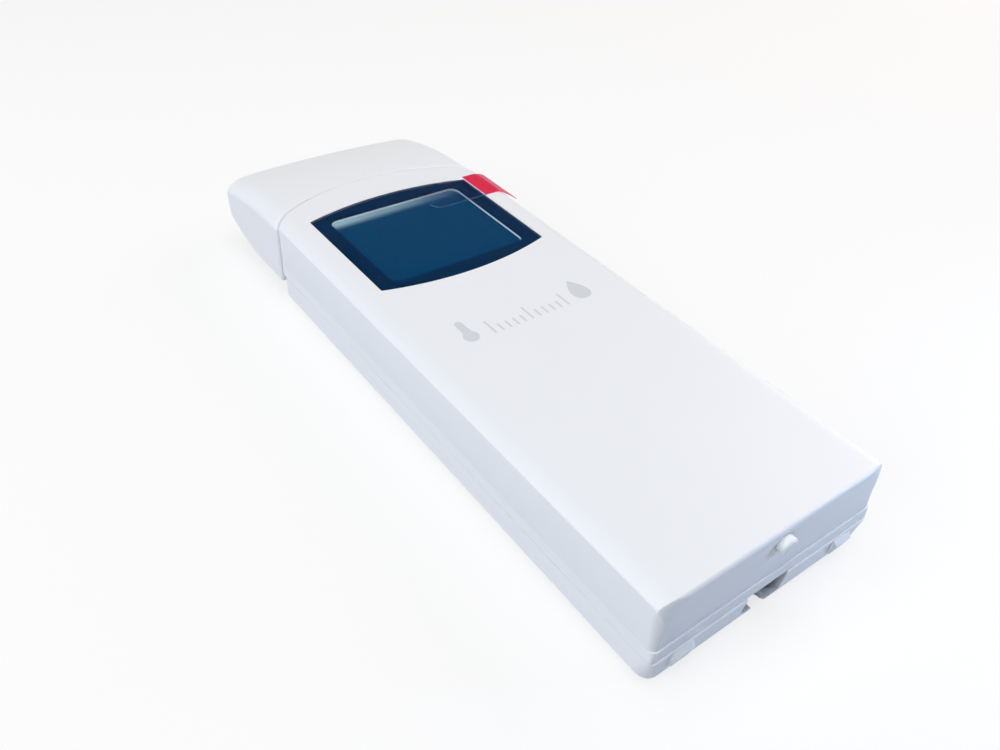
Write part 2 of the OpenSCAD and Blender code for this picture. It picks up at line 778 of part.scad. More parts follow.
// Pull tab: flat on the film and the case top, bent over the long edge, with a tail on its free end
module film_tab() {
  bend_x = half_w - roll_w - 0.4;
  flat_z = max(lens_top + film_t, case_h + 0.02);
  bend_z = flat_z - tab_bend_r;
  far_y = joint_y - tab_back;
  near_edge = far_y - tab_w;
  tail_y = near_edge - tab_tail;
  tip_x = bend_x + tab_bend_r * sin(tab_turn);
  color("#e63948") intersection() {
    along_y(tail_y, far_y - tail_y) {
      translate([tab_left, flat_z]) square([bend_x - tab_left, tab_t]);
      translate([bend_x, bend_z]) intersection() {
        difference() {
          circle(r = tab_bend_r + tab_t, $fn = wide_fn);
          circle(r = tab_bend_r, $fn = wide_fn);
        }
        polygon([[0, 0], [0, 2 * tab_bend_r], [2 * tab_bend_r * tan(tab_turn), 2 * tab_bend_r]]);
      }
      translate([bend_x, bend_z]) rotate(-tab_turn) translate([0, tab_bend_r]) square([tab_free, tab_t]);
    }
    linear_extrude(2 * case_h) polygon([
      [tab_left, near_edge + 2.2], [tab_left + 0.6, near_edge + 1], [tab_left + 2, near_edge + 0.3],
      [tip_x - 4.6, near_edge + 0.4], [tip_x - 2, near_edge], [tip_x - 1.2, near_edge - 0.4],
      [tip_x - 0.5, near_edge - 1.2], [tip_x - 0.2, tail_y + 0.6], [tip_x, tail_y],
      [tip_x + 0.2, tail_y + 0.6], [tip_x + 2, near_edge - 1], [tip_x + 2, far_y - 1], [tip_x - 0.8, far_y],
      [tab_left + 1.4, far_y], [tab_left, far_y - 1.4]
    ]);
  }
}

module lcd_holder() {
  color("#e4e8ea") difference() {
    block(holder_w, holder_y0, holder_l, board_top, ledge_bottom - board_top);
    block(lcd_w + 2 * lcd_clear, window_y - lcd_l / 2 - lcd_clear, lcd_l + 2 * lcd_clear, board_top - past,
          lcd_top - board_top + past);
    translate([0, window_y, 0]) linear_extrude(case_h) rounded(view_w + 0.3, view_l + 0.3, view_r);
  }
}

module lcd_glass() {
  color("#0b4263") block(lcd_w, window_y - lcd_l / 2, lcd_l, lcd_bottom, lcd_t);
}

module lcd_backlight() {
  length = lcd_l - 2 * (strip_w + strip_clear);
  color("#f2f4ef") block(lcd_w - 2, window_y - length / 2, length, lcd_bottom - backlight_t, backlight_t);
}

module contact_strips() {
  color("#4a4d52") for (s = [-1, 1])
    block(lcd_w - 2, window_y + s * (lcd_l - strip_w) / 2 - strip_w / 2, strip_w, board_top,
          lcd_bottom - board_top);
}

module main_board() {
  wide_y0 = holder_y0 - board_margin;
  color(board_green) difference() {
    intersection() {
      union() {
        block(board_w, board_y0, wide_y0 - board_y0 + eps, board_z, board_t);
        block(holder_w + 2 * board_margin, wide_y0, joint_y + joint_bow - wide_y0, board_z, board_t);
      }
      union() {
        block(case_w, near_y, joint_cy - near_y, 0, case_h);
        translate([0, joint_cy, 0]) cylinder(r = board_far_r, h = case_h, $fn = wide_fn);
      }
    }
    for (sx = [-1, 1], y = post_ys)
      translate([sx * post_x, y, 0])
        cylinder(d = board_shank_d + 2 * screw_clear, h = case_h, $fn = round_fn);
  }
}

module controller_chip() {
  color(chip_black)
    block(controller_w, -controller_w / 2, controller_w, board_z - controller_h, controller_h);
}

// Coil, crystal and capacitors on the underside of the main board
module board_parts() {
  color(metal) {
    block(coil_w, near_y + coil_from_end, coil_w, board_z - coil_h, coil_h, x0 = -coil_x);
    block(crystal_w, near_y + crystal_from_end, crystal_l, board_z - coil_h, coil_h, x0 = coil_x);
    for (i = [0:3])
      block(chip_cap_w, near_y + chip_cap_from_end + chip_cap_pitch * i, chip_cap_l, board_z - chip_cap_h,
            chip_cap_h, x0 = -chip_cap_x);
    for (s = [-1, 1])
      translate([s * can_pitch / 2 - can_offset, post_ys[1] - can_from_post, board_z - can_h])
        cylinder(d = can_d, h = can_h, $fn = round_fn);
  }
}

module data_jack() {
  tail_slot = contact_n * contact_pitch;
  color("#3a3d42") difference() {
    block(jack_w + 2 * jack_wall, jack_y0, jack_depth + jack_wall, floor_wall, board_z - floor_wall);
    block(jack_w, jack_y0 - past, jack_depth + past, floor_wall - past, jack_roof_z - floor_wall + past);
    block(tail_slot, contact_back_y - contact_t - 0.1, contact_t + 0.2, jack_roof_z - past,
          jack_wall + 2 * past);
  }
}

module jack_contacts() {
  color(gold) for (i = [0:contact_n - 1]) {
    x = (i - (contact_n - 1) / 2) * contact_pitch;
    block(contact_w, contact_front_y, contact_back_y - contact_front_y, contact_z, contact_t, x0 = x);
    block(contact_w, contact_back_y - contact_t, contact_t, contact_z, board_z - contact_z, x0 = x);
  }
}

module power_button() {
  length = button_flange_y - button_tip_y;
  color(case_white) {
    translate([0, button_tip_y, button_z]) rotate([-90, 0, 0])
    rotate_extrude($fn = round_fn) intersection() {
      union() {
        translate([0, button_r]) square([button_d / 2, length - button_r + eps]);
        square([button_d / 2 - button_r, length]);
        translate([button_d / 2 - button_r, button_r]) circle(r = button_r, $fn = round_fn);
      }
      square([button_d, length + eps]);
    }
    block(2 * flange_w, button_flange_y, flange_t, button_z - button_d / 2 - 0.5,
          inner_top - 0.3 - button_z + button_d / 2 + 0.5);
  }
}

module switch_plunger() {
  color("#e8e4d8") translate([0, button_back_y, switch_z]) rotate([-90, 0, 0])
    cylinder(d = plunger_d, h = plunger_l, $fn = round_fn);
}

module button_switch() {
  color(chip_black) difference() {
    block(switch_w, switch_y0, switch_l, switch_z - switch_h / 2, switch_h);
    translate([0, switch_y0 - past, switch_z]) rotate([-90, 0, 0])
      cylinder(d = plunger_d + 0.12, h = past + 1.8 + button_travel + 0.2, $fn = round_fn);
  }
}

module switch_board() {
  color(board_green)
    block(switch_board_w, switch_back_y, switch_board_t, board_top, switch_top - board_top);
}

module cell() {
  color("#aab2b8") along_y(cell_y0, cell_l) translate([0, cell_z + cell_t / 2])
    rounded(cell_w, cell_t, cell_r);
}

module cell_pad() {
  color("#3f4246")
    block(cell_w - 2 * pad_side, cell_y0 + pad_end, cell_l - 2 * pad_end, cell_top, pad_t);
}

module cell_socket() {
  color("#efe9d8") block(socket_w, cell_y0 - lead_l - socket_l, socket_l, board_top, socket_h);
}

module cell_leads() {
  color("#c8342f") for (s = [-1, 1])
    translate([s * socket_w / 5, cell_y0 - lead_l, cell_z + cell_t / 2]) rotate([-90, 0, 0])
      cylinder(d = lead_d, h = lead_l, $fn = round_fn);
}

module sensor_guard() {
  inner_half = guard_w / 2 - guard_wall;
  shelf_w = inner_half - sensor_board_w / 2 + 0.8;
  vent_l = guard_l - joint_bow - 1;
  color("#d9dde1") difference() {
    union() {
      difference() {
        block(guard_w, joint_cy, guard_y1 - joint_cy, guard_z, guard_h);
        translate([0, joint_cy, 0]) cylinder(r = guard_far_r - guard_flange_t, h = case_h, $fn = wide_fn);
        block(2 * inner_half, joint_cy, guard_y1 - guard_wall - joint_cy, guard_z + guard_wall,
              guard_h - 2 * guard_wall);
      }
      for (s = [-1, 1])
        difference() {
          block(shelf_w, joint_cy, guard_y1 - 2 - joint_cy, guard_z + guard_wall - eps,
                board_top - sensor_board_t - guard_z - guard_wall + eps,
                x0 = s * (inner_half - shelf_w / 2));
          translate([0, joint_cy, 0]) cylinder(r = guard_far_r - guard_flange_t, h = case_h, $fn = wide_fn);
        }
      intersection() {
        difference() {
          block(guard_w + 2.2, joint_cy, joint_r, guard_z - guard_lip, guard_h + guard_lip + 0.4);
          block(2 * inner_half, joint_cy - past, joint_r + 2 * past, guard_z + guard_wall,
                guard_h - 2 * guard_wall);
        }
        translate([0, joint_cy, 0]) difference() {
          cylinder(r = guard_far_r, h = case_h, $fn = wide_fn);
          translate([0, 0, -past])
            cylinder(r = guard_far_r - guard_flange_t, h = case_h + 2 * past, $fn = wide_fn);
        }
      }
    }
    for (i = [0:vent_n - 1]) {
      x = (i - (vent_n - 1) / 2) * vent_pitch;
      block(vent_w, ring_top_y + 0.8, guard_y1 - guard_wall - ring_top_y - 0.8, guard_top - 2 * guard_wall,
            guard_h, x0 = x);
      block(vent_w, guard_y1 - 2 * guard_wall, guard_h, board_top + 0.6,
            guard_top - guard_wall - board_top - 0.6, x0 = x);
    }
  }
}

module sensor_board() {
  color(board_green)
    block(sensor_board_w, sensor_board_y0, guard_y1 - guard_wall - 0.4 - sensor_board_y0,
          board_top - sensor_board_t, sensor_board_t);
}

module sensor_chip() {
  color(chip_black) block(chip_w, guard_y1 - guard_wall - 1.4 - chip_w, chip_w, board_top, chip_h);
}

module sensor_ribbon() {
  color("#e8b64c")
    block(ribbon_w, joint_cy + board_far_r - ribbon_lap, 2 * ribbon_lap + board_gap, board_top, ribbon_t);
}

module cap_ring() {
  height = ring_top - ring_bottom;
  color("#8a9096") along_y(ring_y0, ring_l) difference() {
    translate([0, ring_bottom + height / 2]) rounded(2 * ring_half, height, cap_roll_r - cap_wall);
    translate([-guard_w / 2, guard_z]) square([guard_w, guard_h]);
  }
}

// Pan-head screw with its shank along +Z from the underside of its head
module screw(head_d, head_h, shank_d, shank_l) {
  difference() {
    translate([0, 0, -head_h]) cylinder(d = head_d, h = head_h, $fn = round_fn);
    for (a = [0, 90]) rotate(a)
      translate([-head_d * 0.32, -0.25, -head_h - eps]) cube([head_d * 0.64, 0.5, 0.7]);
  }
  cylinder(d = shank_d, h = shank_l, $fn = round_fn);
}

module case_screws() {
  color(metal) for (sx = [-1, 1], y = boss_ys)
    translate([sx * boss_x, y, case_head_recess + case_head_h])
      screw(case_head_d, case_head_h, case_shank_d, case_shank_l);
}

module board_screws() {
  color(metal) for (sx = [-1, 1], y = post_ys)
    translate([sx * post_x, y, board_top]) rotate([180, 0, 0])
      screw(board_head_d, board_head_h, board_shank_d, board_shank_l);
}

upper_shell();
lower_shell();
sensor_cap();
window_lens();
lens_mask();
display_film();
film_tab();
lcd_holder();
lcd_glass();
lcd_backlight();
contact_strips();
main_board();
controller_chip();
board_parts();
data_jack();
jack_contacts();
power_button();
switch_plunger();
button_switch();
switch_board();
cell();
cell_pad();
cell_socket();
cell_leads();
sensor_guard();
sensor_board();
sensor_chip();
sensor_ribbon();
cap_ring();
case_screws();
board_screws();
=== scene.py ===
"""Looks of a handheld temperature and humidity sensor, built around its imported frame."""

import json
import math

import bmesh
import bpy
from bpy.props import FloatProperty, FloatVectorProperty, IntProperty, PointerProperty
from mathutils import Matrix, Quaternion, Vector

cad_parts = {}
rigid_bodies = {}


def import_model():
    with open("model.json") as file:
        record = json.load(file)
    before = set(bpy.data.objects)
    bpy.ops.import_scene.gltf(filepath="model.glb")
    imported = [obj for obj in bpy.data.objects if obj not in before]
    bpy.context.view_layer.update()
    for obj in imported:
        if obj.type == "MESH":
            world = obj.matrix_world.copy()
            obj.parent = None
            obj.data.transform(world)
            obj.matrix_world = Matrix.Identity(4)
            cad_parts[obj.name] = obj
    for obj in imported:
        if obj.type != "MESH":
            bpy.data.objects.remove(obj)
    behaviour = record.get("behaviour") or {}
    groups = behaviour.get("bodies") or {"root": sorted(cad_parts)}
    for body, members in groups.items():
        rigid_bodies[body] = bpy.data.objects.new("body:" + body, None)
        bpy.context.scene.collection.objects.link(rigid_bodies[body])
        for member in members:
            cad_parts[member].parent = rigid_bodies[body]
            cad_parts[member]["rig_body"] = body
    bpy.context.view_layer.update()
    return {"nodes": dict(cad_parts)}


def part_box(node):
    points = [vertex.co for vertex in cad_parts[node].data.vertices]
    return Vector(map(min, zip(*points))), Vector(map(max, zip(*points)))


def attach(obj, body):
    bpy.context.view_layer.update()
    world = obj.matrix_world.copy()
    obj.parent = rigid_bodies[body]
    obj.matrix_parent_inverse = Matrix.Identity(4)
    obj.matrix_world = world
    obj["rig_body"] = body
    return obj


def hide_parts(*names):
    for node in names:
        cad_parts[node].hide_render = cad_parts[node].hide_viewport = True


bl_info = {
    "name": "Temperature and humidity sensor",
    "version": (1, 0, 0),
    "blender": (4, 5, 0),
    "location": "View3D > Sidebar > Sensor",
    "description": "Builds the case, cap, window and inner parts of a handheld sensor",
    "category": "Object",
}

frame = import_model()
MM = 0.001
WELD = 0.002 * MM
SHARP_ANGLE = math.radians(40)
BEVEL_ANGLE = math.radians(30)
CIRCLE_STEPS = 48
SHELL_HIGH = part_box("upper_shell")[1]
PANE_LOW, PANE_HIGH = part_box("window_lens")
CAP_LOW, CAP_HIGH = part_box("sensor_cap")
BASE_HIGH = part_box("lower_shell")[1]
PANE_Y = (PANE_LOW.y + PANE_HIGH.y) / 2

# Places and radii of the lower shell's solid, which the softened copy starts from
NEAR_Y = -56.2 * MM
SEAM_Z = 5.7 * MM
SOLID_CORNER = 2.6 * MM
SOLID_JOINT = 39.22 * MM
SLOT_HALF = 1.9 * MM
SLOT_NEAR, SLOT_FAR = NEAR_Y + 2.9 * MM, NEAR_Y + 5.1 * MM
SLOT_ROOF = 2 * MM

# How closely a point lies on the solid's corner, on the new corner and on the solid's cap joint
SOLID_CORNER_SLACK, CORNER_SLACK, JOINT_SLACK = 0.05 * MM, 0.1 * MM, 0.3 * MM

# Shares of the near end face's height: deep from the first one on, and shallower above the second
END_DEEP, END_SHALLOW = 0.2, 0.4

# Shares of the cap's half width: where its borders go over to the side's setback, and over what width
CAP_TURN, CAP_TURN_WIDTH = 0.8, 0.12

# Share of the cap's flat top that its inner columns span, and its bulge's reach in side roundings
CAP_FLAT, BULGE_REACH = 0.97, 4

# Painted glow of the pale far wall on the display: distance from the far edge, reach, and share left and
# right
PAINTED_GLOW_END, PAINTED_GLOW_REACH = 1.5 * MM, 3.5 * MM
PAINTED_GLOW_LEFT, PAINTED_GLOW_RIGHT = 0.45, 0.04

# Width of the pull tab's passage from clear to red
DYE_EDGE = 0.2 * MM


def linear(hex_colour):
    """Turns an sRGB hex value into linear red, green and blue."""
    parts = [int(hex_colour[i:i + 2], 16) / 255 for i in (1, 3, 5)]
    return tuple(c / 12.92 if c <= 0.04045 else ((c + 0.055) / 1.055) ** 2.4 for c in parts)


def length(name, description, millimetres):
    """A size that a user may change, given in millimetres."""
    return FloatProperty(
        name=name, description=description, default=millimetres * MM, unit="LENGTH", precision=5
    )


def degrees(name, description, angle):
    """An angle that a user may change, given in degrees."""
    return FloatProperty(name=name, description=description, default=math.radians(angle), subtype="ANGLE")


def point(name, description, place):
    """A place that a user may change, in metres."""
    return FloatVectorProperty(name=name, description=description, default=place, subtype="XYZ")


def colour(name, description, hex_colour):
    """A colour that a user may change."""
    return FloatVectorProperty(
        name=name, description=description, default=linear(hex_colour), subtype="COLOR", min=0, max=1
    )


class CaseSizes(bpy.types.PropertyGroup):
    """Sizes of the two case shells."""

    wall: length("Wall", "Thickness of the moulded wall", 0.95)
    roll_radius: length("Roll radius", "Radius of the rolled long edges", 4)
    roll_drop: length("Roll drop", "Drop of the rolled edge at the side crease", 1.5)
    crease: length("Crease", "Softening of the crease below the rolled edge", 0.7)
    end_edge: length("End edge", "How far the near end face draws in at its top", 0.8)
    end_side: length("End side", "How far the near end face draws in at its sides", 1.8)
    end_foot: length("End foot", "How far it draws in at the sides of the band", 1)
    end_corner: length("End corner", "Width of the near end face's large upper corners", 4.5)
    end_rise: length("End rise", "Height of the near end face's large upper corners", 5.5)
    end_depth: length("End depth", "How far the near end face stands out of its border at the sides", 2)
    end_depth_top: length("End depth at top", "How far it stands out of its border at the top", 0.6)
    lip_top: length("Lip depth", "Depth of the lip in the cap joint, at the top", 0.3)
    lip_side: length("Lip side depth", "Depth of the lip in the cap joint, at the sides", 0.8)
    lip_length: length("Lip length", "How far the lip reaches into the cap joint", 0.45)
    far_edge: length("Far edge", "Rounding of the edge at the cap joint", 0.22)
    step_height: length("Step height", "Height of the band on the near end face", 8.8)
    step_out: length("Step", "How far the band stands out of the near end face", 0.28)
    band_corner: length("Band corner", "Radius of the band's upright corners at the step", 1.1)
    seam_corner: length("Seam corner", "Radius of the upright corners at the seam", 0.5)
    base_corner: length("Base corner", "Radius of the lower shell's corners at the back", 4)
    seam_edge: length("Seam edge", "Rounding of the edges along the seam", 0.1)
    seam_rise: length("Seam rise", "How far the seam lies above the solid's", 0.6)
    seam_gap: length("Seam gap", "Width of the seam", 0.01)
    seam_out: length("Seam out", "How far the lower shell's end stands out at the seam", 0.62)
    lug_ramp: length("Lug ramp", "Height of the ramp on a lug of the solid", 0.4)
    lug_out: length("Lug out", "How far the lugs stand out beyond the solid's", 0.1)
    lug_left: length("Lug left", "How far the lugs lie left of the solid's", 1.2)
    lug_root: length("Lug root", "How far a ramp's upper edge stands out of the wall", 0.03)
    lug_below: length("Lug below", "Distance from a ramp's upper edge to the seam", 0.2)
    lug_rise: length("Lug rise", "How far a ramp's lower edge lies above the solid's", 0.5)
    lug_drop: length("Lug drop", "How far a lug's foot lies below the solid's", 0.3)
    nub_out: length("Button out", "How far the button stands out beyond the solid's", 1)
    slot_short: length("Slot end", "How much nearer the latch slot ends", 2.2)
    joint_radius: length("Joint radius", "Radius of the bowed joint, seen from above", 43.5)
    joint_lean: degrees("Joint lean", "Lean of the far end face", 2)
    flat_spare: length("Flat spare", "Least width of the flat top beside the guard's lines", 0.3)
    band_side: length("Band side", "How far behind the near end the band's plain sides start", 6)
    band_least: length("Band least", "Least radius of the band's corners inside its rounding", 0.05)
    guard_half: length("Guard opening", "Half width of the opening for the guard", 21.15)
    guard_top: length("Guard top", "Height of the upper side of the guard opening", 15.45)
    pane_gap: length("Pane gap", "Clearance around the window pane", 0.12)
    pane_bow: length("Pane bow", "Bow of the pane's two curved ends", 2.8)
    view_width: length("View width", "Width of the viewing area", 31.6)
    view_length: length("View length", "Length of the viewing area", 26.4)
    view_corner: length("View corner", "Corner radius of the viewing area", 2)
    ledge_top: length("Ledge top", "Height of the ledge that carries the pane", 18.4)
    border_lift: length("Border lift", "How far the window's border lies above the solid's", 0.95)
    ledge_bottom: length("Ledge bottom", "Height of the underside of that ledge", 16.5)
    button_hole: length("Button hole", "Radius of the hole for the button", 1.68)
    button_z: length("Button height", "Height of the button's axis", 16.1)
    end_y: length("End", "Where the near end face of the band lies, along the case", -56.55)
    air_gap: length("Air gap", "Gap between the window's layers", 0.01)
    polariser: length("Polariser", "Thickness of the polariser sheet on the display", 2.4)


class CapSizes(bpy.types.PropertyGroup):
    """Sizes of the pull-off sensor cap."""

    wall: length("Wall", "Thickness of the cap's wall", 1.4)
    gap: length("Gap", "Gap between the case and the cap", 0.5)
    base_lift: length("Base lift", "How far the cap's underside lies above the case's back", 1)
    roll_radius: length("Roll radius", "Radius of the rolled long edges", 5)
    roll_drop: length("Roll drop", "Drop of the rolled edge at the side crease", 2.2)
    base_radius: length("Base radius", "Radius of the lower long edges", 1)
    crease: length("Crease", "Softening of the crease below the rolled edge", 2.2)
    crown_start: length("Crown start", "Where the crown starts, along the case", 61.2)
    crown_radius: length("Crown radius", "Radius of the crown along the top", 81)
    keel_start: length("Keel start", "Where the underside starts to rise, along the case", 68)
    keel_radius: length("Keel radius", "Radius of the rising underside", 36)
    nose_bow: length("Nose bow", "Bow of the far edge, seen from above", 4.7)
    nose_edge: length("Nose edge", "Rounding of the upper and lower border of the nose", 1.3)
    nose_side: length("Nose side", "Rounding of the upright borders of the nose", 2.6)
    nose_bulge: length("Nose bulge", "Bulge of the nose half way up, at its sides", 1.6)
    rim_top: length("Rim edge", "Rounding of the rim at the joint, at the top", 0.6)
    rim_side: length("Rim side", "Rounding of the rim at the joint, at the sides", 1.3)


class TabSizes(bpy.types.PropertyGroup):
    """Sizes of the pull tab."""

    thickness: length("Thickness", "Thickness of the tab", 0.16)
    width: length("Width", "Width of the tab, along the case", 9.3)
    corner: length("Corner", "Corner radius of the left end", 2.2)
    bend_radius: length("Bend radius", "Radius of the bend over the long edge", 8)
    bend: degrees("Bend", "How far the free end turns down", 25)
    free: length("Free end", "Straight length past the bend", 0.5)
    tail: length("Tail", "Length of the tail on the free end", 3.6)
    tail_width: length("Tail width", "Width of the tail at its root", 2.6)


class PrintSizes(bpy.types.PropertyGroup):
    """Sizes of the two pictograms and the scale printed below the window."""

    middle: length("Middle", "Middle of the print along the case", 6.4)
    left: length("Left", "Place of the thermometer, left of the middle", 13)
    right: length("Right", "Place of the drop, right of the middle", 13)
    height: length("Height", "Height of a pictogram", 6.4)
    stroke: length("Stroke", "Width of a printed line", 0.42)
    pitch: length("Pitch", "Spacing of the scale's ticks", 1.7)
    ticks: IntProperty(
        name="Ticks", description="Number of ticks on the scale", default=11, min=3, subtype="UNSIGNED"
    )
    thickness: length("Thickness", "Thickness of the ink", 0.02)


class Finishes(bpy.types.PropertyGroup):
    """Colours of the materials that show."""

    abs_white: colour("Case white", "Cool white of the case and the cap", "#eceff2")
    ink_navy: colour("Window border", "Navy print behind the pane", "#021e39")
    display: colour("Display", "Blank dark teal display", "#012740")
    tab_red: colour("Pull tab", "Red film of the pull tab", "#da6b83")
    holder: colour("Display holder", "Pale plastic of the display holder", "#a8c0c0")
    print_grey: colour("Print", "Light grey of the pictograms", "#d1d5d9")
    guard_grey: colour("Guard", "Light grey plastic of the sensor guard", "#d3d8dc")


class StageSettings(bpy.types.PropertyGroup):
    """Camera, lamps and floor."""

    eye: point("Eye", "Place of the camera", (-0.08744, -0.09409, 0.11379))
    aim: point("Aim", "Point in the middle of the picture", (-0.008126, 0.001771, 0.01))
    roll: degrees("Roll", "Tilt of the picture", 4.93)
    lens: FloatProperty(
        name="Lens", description="Focal length in mm for a 36 mm sensor", default=31.597, unit="CAMERA"
    )
    floor: colour("Floor", "Pale floor", "#bcc2cb")
    ambient: FloatProperty(
        name="Ambient", description="Strength of the even light all round", default=0.02, subtype="FACTOR"
    )
    overhead: colour("Overhead", "Colour of the overhead softbox", "#ffffff")
    left: colour("Left", "Colour of the left softbox", "#f5f8ff")
    right: colour("Right", "Colour of the right softbox", "#ffeddc")
    front: colour("Front", "Colour of the fill in front", "#2f7bff")
    spot: colour("Spot", "Colour of the low spot beside the near end", "#cbe7ff")


def rolled_edge(half, top, sizes):
    """Points (x, z) of a rolled long edge, from its side up to the flat top, with a softened crease."""
    radius, drop, crease = sizes.roll_radius, sizes.roll_drop, sizes.crease
    roll_x = half - math.sqrt(radius ** 2 - (radius - drop) ** 2)
    roll_z = top - radius
    crease_x = half - crease
    crease_z = roll_z + math.sqrt((radius - crease) ** 2 - (crease_x - roll_x) ** 2)
    turn = math.atan2(crease_z - roll_z, crease_x - roll_x)
    points = [ring_point(crease_x, crease_z, crease, a) for a in spread(0, turn, 7)]
    return points + [ring_point(roll_x, roll_z, radius, a) for a in spread(turn, math.pi / 2, 9)[1:]]


def ring_point(x, y, radius, angle):
    """A point of a circle."""
    return x + radius * math.cos(angle), y + radius * math.sin(angle)


def fall(radius, x):
    """How far an arc lies behind its middle at a distance from it."""
    return radius - math.sqrt(radius ** 2 - x ** 2)


def rounding(radius, steps):
    """Steps (inset, setback) of a quarter round, from the end face to the full section."""
    angles = spread(0, math.pi / 2, steps + 1)
    return [(radius * (1 - math.sin(a)), radius * (1 - math.cos(a))) for a in angles]


def shoulder(steps, power=1.4):
    """Steps (inset, setback) of a rounding flatter than a quarter round, from the end face on."""
    return [((1 - t) ** power, t ** power) for t in spread(0, 1, steps + 1)]


def spread(low, high, count):
    """Evenly spaced values from low to high."""
    return [low + (high - low) * k / (count - 1) for k in range(count)]


def clamped(value):
    """A value kept between 0 and 1."""
    return min(max(value, 0), 1)


def lofted_grid(rows):
    """A grid of vertices that runs through rows of points."""
    bm = bmesh.new()
    across, along = len(rows[0]) - 1, len(rows) - 1
    for vert in bmesh.ops.create_grid(bm, x_segments=across, y_segments=along, size=0.5)["verts"]:
        row, column = round((vert.co.y + 0.5) * along), round((vert.co.x + 0.5) * across)
        vert.co = rows[row][column]
    bm.normal_update()
    return bm


def weld(bm):
    """Merges the vertices that lie on each other."""
    bmesh.ops.remove_doubles(bm, verts=bm.verts, dist=WELD)


def add_rectangle(bm, width, depth, middle):
    """Adds a flat rectangle and returns its vertices."""
    made = bmesh.ops.create_grid(bm, x_segments=1, y_segments=1, size=0.5)["verts"]
    bmesh.ops.scale(bm, verts=made, vec=(width, depth, 1))
    bmesh.ops.translate(bm, verts=made, vec=middle)
    return made


def round_edges(bm, edges, radius, segments):
    """Rounds edges to a radius."""
    bmesh.ops.bevel(
        bm, geom=edges, offset=radius, offset_type="OFFSET", segments=segments, profile=0.5,
        affect="EDGES", clamp_overlap=False, material=-1, loop_slide=True,
    )


def edges_where(bm, test):
    """Edges whose two ends both pass the test."""
    return [edge for edge in bm.edges if all(test(vert.co) for vert in edge.verts)]


def near(a, b, slack=0.01 * MM):
    """Whether two lengths are the same."""
    return abs(a - b) < slack


def cut_faces(bm, test):
    """Deletes the faces whose middle passes the test."""
    doomed = [face for face in bm.faces if test(face.calc_center_median())]
    bmesh.ops.delete(bm, geom=doomed, context="FACES")


def only(kind, items):
    """The items of one kind."""
    return [item for item in items if isinstance(item, kind)]


def stands(face):
    """Whether a face stands rather than lies flat."""
    return abs(face.normal.z) < 0.5


def extruded(bm, edges):
    """Extrudes edges in place and returns the new edges and vertices."""
    made = bmesh.ops.extrude_edge_only(bm, edges=edges)["geom"]
    return only(bmesh.types.BMEdge, made), only(bmesh.types.BMVert, made)


def raise_sheet(bm, thickness):
    """Gives a sheet of faces its thickness, grown upwards."""
    made = bmesh.ops.extrude_face_region(bm, geom=bm.faces[:])["geom"]
    bmesh.ops.translate(bm, verts=only(bmesh.types.BMVert, made), vec=(0, 0, thickness))
    bmesh.ops.recalc_face_normals(bm, faces=bm.faces)


def face_outwards(bm):
    """Turns every face outwards, judged by the face nearest to the button's end."""
    bmesh.ops.recalc_face_normals(bm, faces=bm.faces)
    bm.normal_update()
    first = min(bm.faces, key=lambda face: face.calc_center_median().y)
    if first.normal.y > 0:
        bmesh.ops.reverse_faces(bm, faces=bm.faces)


def frame_copy(node):
    """A merged copy of a CAD node's mesh with its flat faces joined up."""
    bm = bmesh.new()
    bm.from_mesh(frame["nodes"][node].data)
    weld(bm)
    bmesh.ops.dissolve_limit(bm, angle_limit=math.radians(0.3), verts=bm.verts, edges=bm.edges)
    return bm


def new_object(bm, name):
    """Turns a bmesh into an object of the scene."""
    mesh = bpy.data.meshes.new(name)
    bm.to_mesh(mesh)
    bm.free()
    made = bpy.data.objects.new(name, mesh)
    bpy.context.scene.collection.objects.link(made)
    return made


def add_piece(bm, name, material, node):
    """Turns a bmesh into a piece that rides with a CAD node and is shown in its place, the node being
    hidden.
    """
    piece = new_object(bm, name)
    piece.data.shade_smooth()
    piece.data.set_sharp_from_angle(angle=SHARP_ANGLE)
    piece.data.materials.append(material)
    weighted = piece.modifiers.new("Weighted normals", "WEIGHTED_NORMAL")
    weighted.keep_sharp = True
    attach(piece, frame["nodes"][node]["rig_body"])
    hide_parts(node)
    return piece


def thicken(piece, wall):
    """Gives a sheet its wall, grown inwards."""
    solid = piece.modifiers.new("Wall", "SOLIDIFY")
    solid.thickness = wall
    solid.offset = -1
    piece.modifiers.move(len(piece.modifiers) - 1, 0)


def dress(node, material):
    """Gives a CAD node that keeps its shape its finish."""
    mesh = frame["nodes"][node].data
    mesh.materials.clear()
    mesh.materials.append(material)


def add(tree, kind, inputs=None, **settings):
    """Adds a shader node with its settings; an input is a value, or an output socket to link."""
    node = tree.nodes.new(kind)
    for name, value in settings.items():
        setattr(node, name, value)
    for name, value in (inputs or {}).items():
        if isinstance(value, bpy.types.NodeSocket):
            tree.links.new(value, node.inputs[name])
        else:
            node.inputs[name].default_value = value
    return node


def new_material(name):
    """An empty material with its tree and Object coordinates; one name gives one material."""
    material = bpy.data.materials.get(name) or bpy.data.materials.new(name)
    material.use_nodes = True
    tree = material.node_tree
    tree.nodes.clear()
    place = add(tree, "ShaderNodeTexCoord").outputs["Object"]
    return material, tree, place


def surfaced(material, inputs):
    """Closes a material with one shader that has these inputs."""
    tree = material.node_tree
    shader = add(tree, "ShaderNodeBsdfPrincipled", inputs)
    add(tree, "ShaderNodeOutputMaterial", {"Surface": shader.outputs["BSDF"]})
    return material


def varied(tree, place, size, low, high, detail=4.0):
    """A value that varies between two values over patches of a size."""
    pattern = add(tree, "ShaderNodeTexNoise", {"Vector": place, "Scale": 1 / size, "Detail": detail})
    reach = {"Value": pattern.outputs["Fac"], "To Min": low, "To Max": high}
    return add(tree, "ShaderNodeMapRange", reach).outputs["Result"]


